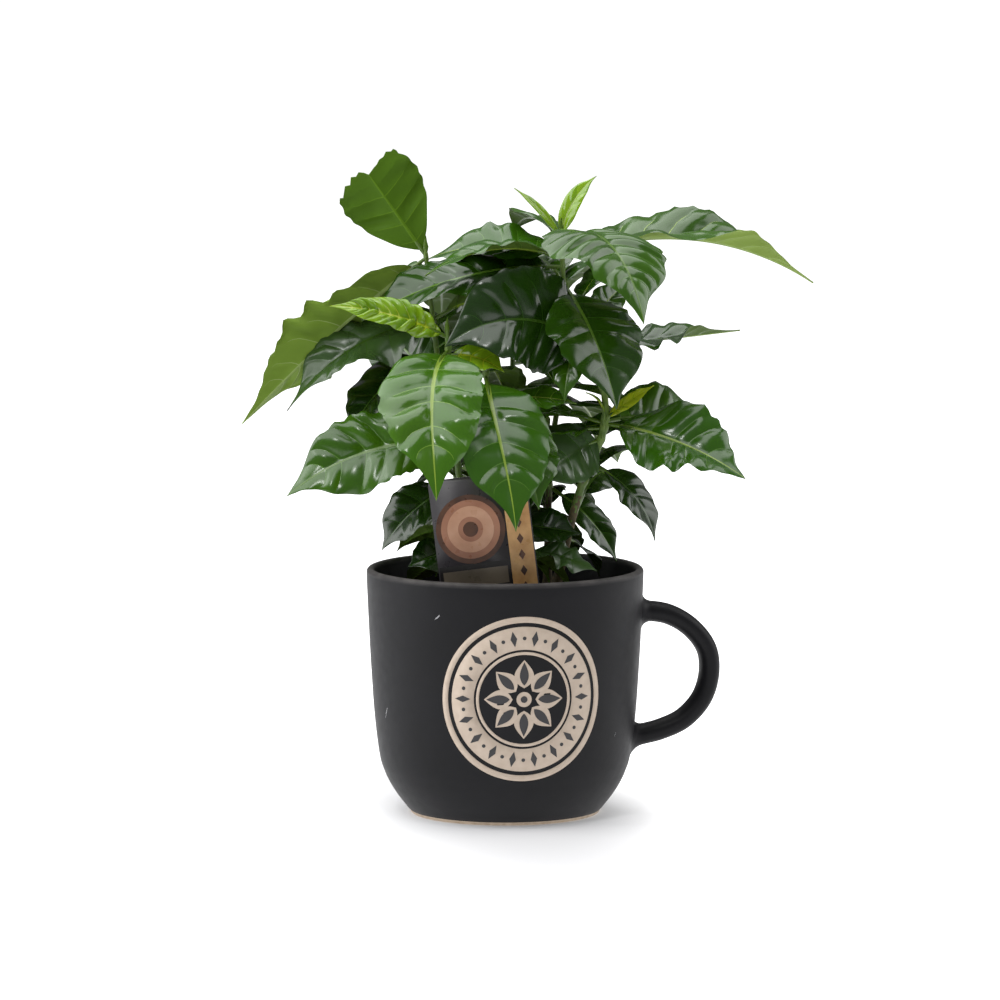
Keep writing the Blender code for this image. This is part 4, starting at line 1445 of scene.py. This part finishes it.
    def grow(self, label: Label) -> tuple[dict[str, list[Leaf]], dict[str, list[Leaf]]]:
        """Grows all leaves.

        Args:
            label: The card that the leaves keep clear of.

        Returns:
            The leaves by seedling: those that are set, then the ruled pairs and each set leaf's partner.
            After them the smaller leaves by seedling, which stand on finer twigs between the others.
        """
        rng = random.Random(self.seed)
        grown = {seedling.name: list(seedling.leaves) for seedling in SEEDLINGS}
        placed = [(None, *label.cloud())]
        for seedling in SEEDLINGS:
            heights = np.arange(Plant.soil_level, seedling.top, self.stem_step)
            stem = np.array([seedling.middle(height) for height in heights])
            placed.append((seedling, stem, np.zeros(len(heights))))
        for seedling in SEEDLINGS:
            placed += [(seedling, *self.cloud(leaf, seedling)) for leaf in seedling.leaves]
        for seedling in SEEDLINGS:
            wanted = [(height, heading + half) for height, heading in seedling.pairs for half in (0, 180)]
            wanted += [(leaf.height, leaf.heading + 180) for leaf in seedling.leaves if not leaf.young]
            for height, heading in wanted:
                full = min(1.0, (seedling.top - height) / self.young_reach)
                share = self.young_share + (1.0 - self.young_share) * full
                for attempt in range(self.tries):
                    shorter = 1.0 - self.shrink * attempt / self.tries
                    leaf = self.ruled_leaf(rng, height, heading, share * shorter)
                    points, along = self.cloud(leaf, seedling)
                    if self.in_space(points) and self.clears(points, along, seedling, placed, self.touch):
                        grown[seedling.name].append(leaf)
                        placed.append((seedling, points, along))
                        break
        return grown, self.refine(placed)

    def keeps_open(self, points: np.ndarray) -> bool:
        """Whether a leaf leaves the openings free, seen from the front."""
        x, y, z = points.T
        level = z + self.view_slope * y
        return all(np.hypot(x - across, level - up).min() > radius for across, up, radius in self.openings)

    def shade(self, points: np.ndarray) -> tuple[set, set]:
        """The cells that a leaf covers, seen from the front and from the side."""
        x, y, z = (points / self.shade_cell).T
        front = set(zip(x.round().astype(int), (z + self.view_slope * y).round().astype(int)))
        return front, set(zip(y.round().astype(int), z.round().astype(int)))

    def twig_leaf(self, rng: random.Random, height: float, heading: float, length_share: float) -> Leaf:
        """One leaf on a finer twig."""
        length = rng.uniform(*self.twig_lengths) * length_share
        width_share = self.twig_width_shares
        return Leaf(
            height, heading + rng.uniform(*self.twig_headings), length, length * rng.uniform(*width_share),
            rng.uniform(*self.twig_rises), rng.uniform(*self.twig_droops),
            roll=rng.uniform(*self.twig_rolls), fold=rng.uniform(*self.twig_folds),
            petiole=rng.uniform(*self.twig_stalks),
        )

    def refine(self, placed: list) -> dict[str, list[Leaf]]:
        """Grows smaller leaves on finer twigs. Each twig keeps the one with most light that fits."""
        rng = random.Random(self.twig_seed)
        finer = {seedling.name: [] for seedling in SEEDLINGS}
        shades = [self.shade(points) for _, points, _ in placed]
        front, side = (set().union(*cells) for cells in zip(*shades))
        for seedling in SEEDLINGS:
            for height in np.arange(seedling.tiers[0], seedling.top - self.twig_gap, self.twig_spacing):
                heading = rng.uniform(0.0, 360.0)
                for half in (0.0, 180.0):
                    best, most = None, self.least_light
                    for attempt in range(self.twig_tries):
                        shorter = 1.0 - self.shrink * attempt / self.twig_tries
                        leaf = self.twig_leaf(rng, float(height), heading + half, shorter)
                        points, along = self.cloud(leaf, seedling)
                        if not (self.in_space(points) and self.keeps_open(points)):
                            continue
                        ahead, aside = self.shade(points)
                        light = len(ahead - front) + self.side_weight * len(aside - side)
                        if light > most and self.clears(points, along, seedling, placed, self.twig_touch):
                            best, most = (leaf, points, along, ahead, aside), light
                    if best:
                        finer[seedling.name].append(best[0])
                        placed.append((seedling, *best[1:3]))
                        front |= best[3]
                        side |= best[4]
        return finer


@dataclass
class Blade:
    """A leaf's blade in full detail: quilted between its veins, with a wavy margin and raised ribs."""

    leaf: Leaf
    node: np.ndarray
    tint: Tint
    rng: random.Random
    steps: int = 160
    columns: tuple = (0.0, 0.08, 0.2, 0.33, 0.46, 0.6, 0.74, 0.86, 0.95, 1.0)
    panel_rows: tuple = (0.16, 0.33, 0.5, 0.67, 0.84)
    first_vein: float = 0.7  # the share of a step before it
    vein_jitter: float = 0.16
    slant: float = 0.58  # how far the veins run forward
    vein_width: float = 0.5
    vein_reach: float = 0.8
    quilt_share: float = 0.024  # of the length
    quilt_range: tuple = (0.4, 1.5)
    wave_share: float = 0.1  # of the half width
    billow_share: float = 0.12
    scallop_share: float = 0.06
    cleft_reaches: tuple = (0.2, 0.8)  # of a torn end's lower lobe and its upper one, as the next two
    lobe_rounding: tuple = ((0.7, 3), (0.25, 6))
    teeth_depths: tuple = (0.28, 0.14)
    cleft_depth: float = 0.5
    teeth: float = 4.2
    second_tint: float = 0.3  # the share of panels with the second tint
    skin: float = 0.2

    def rows(self) -> tuple[np.ndarray, np.ndarray, np.ndarray, np.ndarray]:
        """The rows across the blade, which follow its veins.

        Returns:
            Each row's place along the midrib, its offset beside a vein, how far it is from one vein to
            the next, and the number of the panel that starts at it. A vein's own number is -1.
        """
        count = self.leaf.veins or int(np.clip(round(3.0 + self.leaf.length / 20.0), 4, 9))
        step, half = 1.0 / (count + 0.9), 0.5 * self.vein_width / self.leaf.length
        jitter = [step * self.vein_jitter * self.rng.uniform(-1.0, 1.0) for _ in range(count)]
        veins = [(self.first_vein + index) * step + shift for index, shift in enumerate(jitter)]
        rows = [(veins[0] * share, 0.0, 0.5 + 0.5 * share, 0) for share in (0.02, 0.25, 0.5, 0.75)]
        for index, place in enumerate(veins):
            rows += [(place, -half, 0.0, -1 if index < count - 1 else index), (place, half, 0.0, index + 1)]
            if index < count - 1:
                gap = veins[index + 1] - place
                rows += [(place + gap * share, 0.0, share, index + 1) for share in self.panel_rows]
        shares = (0.12, 0.25, 0.38, 0.5, 0.62, 0.73, 0.83, 0.92, 0.997)
        rows += [(veins[-1] + (1.0 - veins[-1]) * share, 0.0, 0.5 * share, count) for share in shares]
        return tuple(np.array(values) for values in zip(*rows))

    def margin(self, share: np.ndarray, phase: float) -> np.ndarray:
        """Half width, with shallow scallops and a drawn-out tip."""
        draw = np.clip((share - 0.72) / 0.2, 0.0, 1.0)
        drip = self.leaf.drip * draw * draw * (3.0 - 2.0 * draw)
        count = 2.0 + self.leaf.length / 13.0
        bays = np.sin(math.pi * (count * (share + 0.06 * np.sin(9.0 * share + 7.0 * phase)) + phase)) ** 2
        scallops = self.scallop_share * self.leaf.wave * bays * np.clip(4.0 * share, 0.0, 1.0)
        return half_width(self.leaf, share) * (1.0 - drip) * (1.0 - scallops)

    def torn(self, share: np.ndarray, place: np.ndarray, hand: float, phase: float) -> np.ndarray:
        """The share of the length once a ragged end is torn off, which leaves two lobes."""
        upper = int(hand > 0.0)
        cleft = np.clip(1.0 - place / self.cleft_reaches[upper], 0.0, 1.0) ** (2 - upper)
        depth, power = self.lobe_rounding[upper]
        teeth = self.teeth_depths[upper] * np.abs(np.sin(math.pi * (self.teeth * place + phase)))
        missing = self.cleft_depth * cleft + (depth * place**power + teeth) * (1.0 - cleft)
        return share * (1.0 - self.leaf.notch * missing * share**3)

    def ripple(self, share: np.ndarray, phase: float) -> np.ndarray:
        """Uneven waves along a margin."""
        count = 1.6 + self.leaf.length / 30.0
        swell = 0.65 + 0.35 * np.sin(2.0 * math.pi * (1.37 * share + 3.1 * phase))
        drift = 0.11 * np.sin(2.0 * math.pi * (1.1 * share + 5.3 * phase))
        waves = np.sin(2.0 * math.pi * (count * (share + drift) + phase))
        return swell * waves + 0.4 * np.sin(2.0 * math.pi * (0.47 * count * share + 2.3 * phase))

    def lifted(
        self, share: np.ndarray, place: np.ndarray, half: np.ndarray, bulge: np.ndarray, phase: float,
    ) -> np.ndarray:
        """How far the blade stands off its plane.

        Args:
            share: The share of the length.
            place: The share of the way from the midrib to the margin.
            half: The half width there.
            bulge: How far each row bulges, from 0 at a vein.
            phase: Where the margin's waves start.

        Returns:
            The lift, in millimetres.
        """
        leaf, widest = self.leaf, self.leaf.width / 2
        middle = 2.1 * place**0.6 * np.clip(1.0 - place, 0.0, 1.0) ** 0.55
        quilt = self.quilt_share * leaf.length * leaf.quilt * bulge * middle * half / widest
        quilt *= 1.0 - share**4
        fade = np.sin(math.pi * np.clip(share, 0.0, 1.0)) ** 0.6
        wave = self.wave_share * leaf.wave * half * place**2.2 * fade * self.ripple(share, phase)
        billow = self.billow_share * half * place * np.sin(2.0 * math.pi * (1.3 * share + 1.7 * phase))
        return quilt + wave + leaf.wave * billow - leaf.cup * half * place**2

    def surface(self, rows: tuple) -> tuple[np.ndarray, np.ndarray, np.ndarray]:
        """The blade's middle surface with its normals and its share of the way to the margins."""
        leaf = self.leaf
        base, offset, panel, numbers = rows
        columns = np.array(self.columns)
        marks = np.linspace(0.0, 1.0, self.steps + 1)
        _, side, normal = frame_along(leaf, self.steps)
        midrib = midrib_of(leaf, self.node, self.steps)
        start = base[:, None] + offset[:, None] * (1.0 - 0.8 * columns)
        whole = np.clip(start + self.slant * columns**1.35 * start * (1.0 - start), 0.002, 0.9985)
        fold = math.radians(leaf.fold)
        halves = []
        for hand in (-1.0, 1.0):
            phase = self.rng.random()
            share = self.torn(whole, columns, hand, phase)
            middle, aside, facing = (
                np.stack([np.interp(share, marks, values[:, axis]) for axis in range(3)], axis=-1)
                for values in (midrib, side, normal)
            )
            heights = [self.rng.uniform(*self.quilt_range) for _ in range(numbers.max() + 2)]
            heights[-2:] = (0.5, 0.3)  # the last pair of panels lies flatter
            bulge = (np.sin(math.pi * panel) ** 0.8 * np.array(heights)[numbers + 1])[:, None]
            half = self.margin(np.minimum(share, 1.0 - self.cleft_depth * leaf.notch), phase)
            rib = np.minimum((0.45 + leaf.length * 0.009) * (1.0 - 0.85 * share), 0.45 * half)
            reach = rib + (half - rib) * columns
            lift = self.lifted(share, columns * np.ones_like(share), half, bulge, phase)
            out = facing * math.cos(fold) - hand * math.sin(fold) * aside
            points = (
                middle + aside * (hand * reach * math.cos(fold))[..., None]
                + facing * (reach * math.sin(fold))[..., None] + out * lift[..., None]
            )
            halves.append((points, out))
        (left, left_out), (right, right_out) = halves
        points = np.concatenate((left[:, ::-1], middle[:, :1], right), axis=1)
        normals = np.concatenate((left_out[:, ::-1], facing[:, :1], right_out), axis=1)
        return points, normals, np.concatenate((columns[::-1], [0.0], columns))

    def add_to(self, bag: Bag) -> None:
        """Adds the closed blade to a bag, each face with its own finish."""
        sections = self.rows()
        points, normals, place = self.surface(sections)
        centre, across = len(self.columns), len(place)
        skin = self.skin * (1.0 - place**6)[None, :, None] * np.ones((len(points), 1, 1))
        rib = (0.2 + 0.004 * self.leaf.length) * np.linspace(1.0, 0.3, len(points))[:, None, None]
        rise, keel = skin.copy(), skin.copy()
        rise[:, centre : centre + 1] += 0.5 * rib
        keel[:, centre : centre + 1] += 1.5 * rib
        rings = np.concatenate((points + normals * rise, (points - normals * keel)[:, -2:0:-1]), axis=1)
        rows, around = rings.shape[:2]
        faces = [
            # the underside's corners start one later, so that both sides are cut along the same diagonals
            face if number % around < across - 1 else (*face[1:], face[0])
            for number, face in enumerate(grid_faces(rows, around, closed=True))
        ]
        last, edge = (rows - 1) * around, across - 1
        faces.append(tuple(range(around))[::-1])
        for side in range(edge):
            below = [2 * edge - column for column in (side + 1, side) if 0 < column < edge]
            faces.append(tuple(last + corner for corner in (side, side + 1, *below)))
        margins = [row * around + side for row in range(rows) for side in (0, edge)]
        bag.put(rings, flipped(faces), self.face_finishes(sections[3], place, rows, around), margins)

    def face_finishes(self, numbers: np.ndarray, place: np.ndarray, rows: int, around: int) -> list[Finish]:
        """The finish of each face: veins, midrib, panels of two tints, and the underside."""
        across, centre = len(place), len(self.columns)
        hands = [(self.leaf.left_tint or self.tint).finishes(), self.tint.finishes()]
        panels = {
            (number, hand): hands[hand][int(self.rng.random() < self.second_tint and number < numbers[-1])]
            for number in sorted(set(numbers.tolist())) for hand in (0, 1)
        }
        finishes = []
        for row in range(rows - 1):
            number = max(numbers[row], numbers[row - 1])
            for side in range(around):
                top = side < across - 1
                column = side if top else 2 * (across - 1) - side - 1
                hand = 0 if column < centre else 1
                outer = max(place[column], place[column + 1])
                if column in (centre - 1, centre):
                    finishes.append(hands[1][3])
                elif numbers[row] < 0 and outer <= self.vein_reach:
                    finishes.append(hands[hand][4])
                elif top:
                    finishes.append(panels[(number, hand)])
                else:
                    finishes.append(hands[hand][2])
        return finishes + [hands[1][3]] * across


@dataclass
class Stalks:
    """Stems, petioles, stipules and buds of one seedling, swept along their lines by a geometry tree."""

    seedling: Seedling
    leaves: list[Leaf]
    finer: list[Leaf]
    station: float = 1.1
    sunk: float = 4.0
    node_swell: float = 0.3
    node_length: float = 1.5
    petiole_radii: tuple = (0.75, 0.95, 1.0, 0.8, 0.3)
    petiole_reach: tuple = (0.0, 0.06, 0.14)
    brown_from: float = 118.0
    brown_fade: float = 45.0
    sides: int = 16
    relief: float = 0.44
    grain: float = 1400.0

    def lines(self) -> list[tuple[np.ndarray, np.ndarray, np.ndarray]]:
        """Each line's places, radii and tones. A tone is 0 for bark, 1 for green stem and 2 for petiole."""
        seedling = self.seedling
        heights = np.arange(Plant.soil_level - self.sunk, seedling.top, self.station)
        middle = np.array([seedling.middle(max(height, Plant.soil_level)) for height in heights])
        middle[:, 2] = heights
        nodes = sorted({round(leaf.height) for leaf in self.leaves})
        swell = sum(np.exp(-(((heights - node) / self.node_length) ** 2)) for node in nodes)
        radii = np.array([seedling.radius(max(height, Plant.soil_level)) for height in heights])
        radii *= 1.0 + self.node_swell * np.minimum(swell, 1.0)
        tones = np.clip((heights - self.brown_from) / self.brown_fade, 0.0, 1.0)
        lines = [(middle, radii, tones)]
        tip = seedling.middle(seedling.top)
        bud = tip + np.array(((0.0, 0.0, -1.0), (0.2, 0.0, 2.0), (0.0, 0.3, 4.5), (0.3, 0.0, 7.0)))
        lines.append((bud, np.array((0.9, 1.3, 0.8, 0.12)), np.full(4, 2.0)))
        lines += [self.petiole(leaf) for leaf in self.leaves + self.finer]
        for node in nodes:
            lines += self.stipules(node)
        return lines

    def petiole(self, leaf: Leaf) -> tuple[np.ndarray, np.ndarray, np.ndarray]:
        """A leaf's stalk, from inside the stem to inside the blade."""
        steps = 50
        node = self.seedling.middle(leaf.height)
        midrib = midrib_of(leaf, node, steps)
        inside = [midrib[round(share * steps)] for share in self.petiole_reach]
        places = [node, (node + midrib[0]) / 2, *inside]
        scale = min(1.0, 0.5 + leaf.length / 100.0)
        path = smooth_path(places, 12)
        spread = np.linspace(0.0, 1.0, len(self.petiole_radii))
        radii = scale * np.interp(np.linspace(0.0, 1.0, 12), spread, self.petiole_radii)
        return path, radii, np.full(12, 2.0)

    def stipules(self, height: float) -> list[tuple[np.ndarray, np.ndarray, np.ndarray]]:
        """Two small points that hug the stem between the leaves of a node."""
        middle, radius = self.seedling.middle(height), self.seedling.radius(height)
        first = next(leaf for leaf in self.leaves if round(leaf.height) == height)
        heading = math.radians(first.heading + 90.0)
        found = []
        for hand in (-1.0, 1.0):
            out = hand * np.array((math.cos(heading), math.sin(heading), 0.0))
            path = np.array([middle + out * reach + (0.0, 0.0, rise) for reach, rise in (
                (radius * 0.6, -0.6), (radius * 1.2, 0.5), (radius * 1.25, 1.8), (radius * 1.5, 3.2),
            )])
            found.append((path, np.array((0.5, 0.6, 0.4, 0.08)), np.full(4, 1.0)))
        return found

    @staticmethod
    def tree() -> bpy.types.NodeTree:
        """The tree that sweeps a round section along lines, roughens it and dresses it by tone."""
        found = bpy.data.node_groups.get("swept_stalks")
        if found:
            return found
        graph = geometry_group(
            "swept_stalks", Sides="Int", Relief="Float", Grain="Float",
            Bark="Material", Green="Material", Petiole="Material",
        )
        given = graph.given

        def attribute(name: str) -> Socket:
            """Returns one of the lines' own values."""
            return graph.out("GeometryNodeInputNamedAttribute", {"Name": name}, data_type="FLOAT")

        curve = graph.out("GeometryNodeMeshToCurve", {"Mesh": given["Geometry"]})
        ring = graph.out("GeometryNodeCurvePrimitiveCircle", {"Resolution": given["Sides"], "Radius": 1.0})
        inputs = {"Curve": curve, "Profile Curve": ring, "Scale": attribute("thickness"), "Fill Caps": True}
        swept = graph.out("GeometryNodeCurveToMesh", inputs)
        place = graph.out("GeometryNodeInputPosition")
        drawn = graph.out("ShaderNodeVectorMath", {0: place, 1: (1.0, 1.0, 0.22)}, operation="MULTIPLY")
        inputs = {"Vector": drawn, "Scale": given["Grain"], "Detail": 2.0}
        noise = graph.add("ShaderNodeTexNoise", inputs).outputs["Fac"]
        tone_here = attribute("tone")
        strength = graph.maths("SUBTRACT", 1.15, tone_here, clamp=True)
        height = graph.maths("MULTIPLY", graph.maths("SUBTRACT", noise, 0.5), strength)
        reach = graph.maths("MULTIPLY", height, given["Relief"])
        normal = graph.out("GeometryNodeInputNormal")
        offset = graph.out("ShaderNodeVectorMath", {0: normal, "Scale": reach}, operation="SCALE")
        rough = graph.out("GeometryNodeSetPosition", {"Geometry": swept, "Offset": offset})
        ragged = graph.maths("ADD", tone_here, graph.maths("SUBTRACT", noise, 0.5))
        last = graph.dress(rough, given["Bark"])
        for threshold, finish in ((0.5, "Green"), (1.5, "Petiole")):
            chosen = graph.maths("GREATER_THAN", ragged if threshold < 1.0 else tone_here, threshold)
            inputs = {"Geometry": last, "Selection": chosen, "Material": given[finish]}
            last = graph.out("GeometryNodeSetMaterial", inputs)
        graph.hand_out(last)
        return graph.tree

    def build(self) -> None:
        """Builds the seedling's stalks as one piece."""
        points, edges, radii, tones = [], [], [], []
        for path, line_radii, line_tones in self.lines():
            start = len(points)
            points += in_world(path).tolist()
            edges += [(start + step, start + step + 1) for step in range(len(path) - 1)]
            radii += line_radii.tolist()
            tones += line_tones.tolist()
        mesh = bpy.data.meshes.new("lines")
        mesh.from_pydata((np.array(points) * MM).tolist(), edges, [])
        for label, values in (("thickness", np.array(radii) * MM), ("tone", np.array(tones))):
            mesh.attributes.new(label, "FLOAT", "POINT").data.foreach_set("value", values)
        values = {
            "Sides": self.sides, "Relief": self.relief * MM, "Grain": self.grain,
            "Bark": BARK.material(), "Green": GREEN_STEM.material(),
            "Petiole": LEAF_TINTS["petiole"].material(),
        }
        name = self.seedling.name
        piece = from_tree(f"{name}_stalks", self.tree(), linked("lines", mesh), values)
        finished(piece, "stem", f"{name}_stem")


@dataclass
class Plant:
    """All seedlings: their stalks, and the leaves of each shoot."""

    label: Label
    turn: ClassVar[float] = -8.0
    soil_level: ClassVar[float] = 95.0
    stem_flare: ClassVar[float] = 1.5
    flare_height: ClassVar[float] = 5.0
    stem_top_radius: ClassVar[float] = 0.9
    seed: int = 23
    low_crown: float = 165.0

    def tint_of(self, leaf: Leaf, rng: random.Random) -> Tint:
        """A set leaf's own tint, or one that the rule deals out by height."""
        # Leaves below low_crown are dealt from the darker tints, which partly paint the shade low in the
        # crown.
        low, high = (Tint.DEEP, Tint.DARK, Tint.GREEN), (Tint.DARK, Tint.GREEN, Tint.FRESH)
        dealt = rng.choice(low if leaf.height < self.low_crown else high)
        return leaf.tint or dealt

    def build(self) -> None:
        """Builds every seedling."""
        rng = random.Random(self.seed)
        grown, finer = Growth().grow(self.label)
        for kind, leaves in (("set and ruled", grown), ("finer", finer)):
            LOG.info("%s leaves: %s", kind, {name: len(shoot) for name, shoot in leaves.items()})
        for seedling in SEEDLINGS:
            leaves = grown[seedling.name] + finer[seedling.name]
            Stalks(seedling, grown[seedling.name], finer[seedling.name]).build()
            bounds = (*seedling.tiers, math.inf)
            for number, (low, high) in enumerate(zip(bounds, bounds[1:]), 1):
                bag = Bag([])
                shoot = [leaf for leaf in leaves if low <= leaf.height < high]
                for leaf in shoot:
                    Blade(leaf, seedling.middle(leaf.height), self.tint_of(leaf, rng), rng).add_to(bag)
                piece = bag.piece(f"{seedling.name}_foliage_{number}", in_world)
                finished(piece, "foliage", f"{seedling.name}_leaves_{number}")


# The studio


@dataclass
class Studio:
    """A plain pale floor, soft lights and the camera."""

    aim: tuple = (-2.28, 0.32, 141.3)
    distance: float = 3000.0
    azimuth: float = -8.0
    elevation: float = 6.5
    lens: float = 240.0
    floor_half: float = 4000.0
    floor_drop: float = 0.15
    sky: float = 1.05  # how bright the world is seen to be
    fill: float = 0.18  # how brightly it lights the plant
    paper_glow: float = 0.15
    paper_bounce: float = 0.65
    shadow_halves: tuple = (80.0, 320.0, 1000.0)
    lamps: tuple = (
        # name, place, width, height, watts
        ("overhead", (-250.0, 100.0, 1500.0), 2200.0, 1900.0, 34.0),
        ("left_box", (-1500.0, 150.0, 800.0), 1200.0, 1500.0, 18.0),
        ("right_box", (1500.0, 200.0, 900.0), 1200.0, 1500.0, 12.0),
        ("front_box", (-700.0, -1300.0, 1700.0), 260.0, 260.0, 6.0),
    )

    def build(self) -> None:
        """Builds the floor, the lights and the camera."""
        half = self.floor_half
        corners = [(-half, -half), (half, -half), (half, half), (-half, half)]
        points = [(x, y, -self.floor_drop) for x, y in corners]
        floor = new_piece("studio_floor", points, [(0, 1, 2, 3)], [])
        floor.data.materials.append(self.paper())
        for name, place, width, height, watts in self.lamps:
            lamp = bpy.data.lights.new(name, "AREA")
            lamp.shape, lamp.energy = "RECTANGLE", watts
            lamp.size, lamp.size_y = width * MM, height * MM
            self.aimed(linked(name, lamp), np.array(place))
        self.light_world()
        camera = bpy.data.cameras.new("camera")
        camera.lens, camera.sensor_width, camera.clip_end = self.lens, 36.0, 50.0
        turn, rise = math.radians(self.azimuth), math.radians(self.elevation)
        back = np.array((math.sin(turn) * math.cos(rise), -math.cos(turn) * math.cos(rise), math.sin(rise)))
        place = np.array(self.aim) + back * self.distance
        bpy.context.scene.camera = self.aimed(linked("camera", camera), place)
        bpy.context.scene.view_settings.view_transform = "Standard"

    def paper(self) -> bpy.types.Material:
        """White paper. To the camera it glows away from the mug, so that it stays white but for a soft
        shadow, whose long oval the fading glow paints; to other rays it glows evenly as painted bounce
        light.
        """
        material = bpy.data.materials.new("studio_paper")
        material.use_nodes = True
        graph = Graph(material.node_tree)
        shader = graph.tree.nodes["Principled BSDF"].inputs
        shader["Base Color"].default_value = tone(191, 191, 193)
        shader["Roughness"].default_value = 0.9
        shader["Specular IOR Level"].default_value = 0.0
        shader["Emission Color"].default_value = (1.0, 1.0, 1.0, 1.0)
        place = graph.add("ShaderNodeTexCoord").outputs["Object"]
        # the glow fades out inside an oval of these half sizes round the mug, which paints the shadow's
        # shape
        reach = tuple(half * MM for half in self.shadow_halves)
        spread = graph.out("ShaderNodeVectorMath", {0: place, 1: reach}, operation="DIVIDE")
        away = graph.add("ShaderNodeVectorMath", {0: spread}, operation="LENGTH").outputs["Value"]
        glow = graph.maths("POWER", away, 3.0, clamp=True)
        # camera rays see glow plus paper_glow; all other rays see paper_bounce, a painted glow that lights
        # the mug and leaves from below
        seen = graph.add("ShaderNodeLightPath").outputs["Is Camera Ray"]
        shown = graph.maths("SUBTRACT", graph.maths("ADD", glow, self.paper_glow), self.paper_bounce)
        graph.feed(shader["Emission Strength"], graph.maths("MULTIPLY_ADD", seen, shown, self.paper_bounce))
        return material

    def aimed(self, thing: bpy.types.Object, place: np.ndarray) -> bpy.types.Object:
        """Puts a lamp or camera at a place and turns it to the plant."""
        ahead = Vector(np.array(self.aim) - place)
        thing.rotation_euler = ahead.to_track_quat("-Z", "Y").to_euler()
        thing.location = place * MM
        return thing

    def light_world(self) -> None:
        """White behind the plant, and an even dimmer light on it."""
        world = bpy.data.worlds.new("studio")
        world.use_nodes = True
        graph = Graph(world.node_tree)
        seen = graph.add("ShaderNodeLightPath").outputs["Is Camera Ray"]
        strength = graph.maths("MULTIPLY_ADD", seen, self.sky - self.fill, self.fill)
        graph.feed(graph.tree.nodes["Background"].inputs["Strength"], strength)
        graph.feed(graph.tree.nodes["Background"].inputs["Color"], (1.0, 1.0, 1.0, 1.0))
        bpy.context.scene.world = world


def main() -> None:
    """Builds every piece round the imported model."""
    logging.basicConfig(level=logging.INFO, format="%(name)s: %(message)s", stream=sys.stdout)
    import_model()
    Studio().build()
    mug, label = Mug(), Label()
    mug.build()
    Medallion(mug).build()
    Chips(mug).build()
    Soil(mug).build()
    label.build()
    Plant(label).build()


if __name__ == "__main__":
    main()
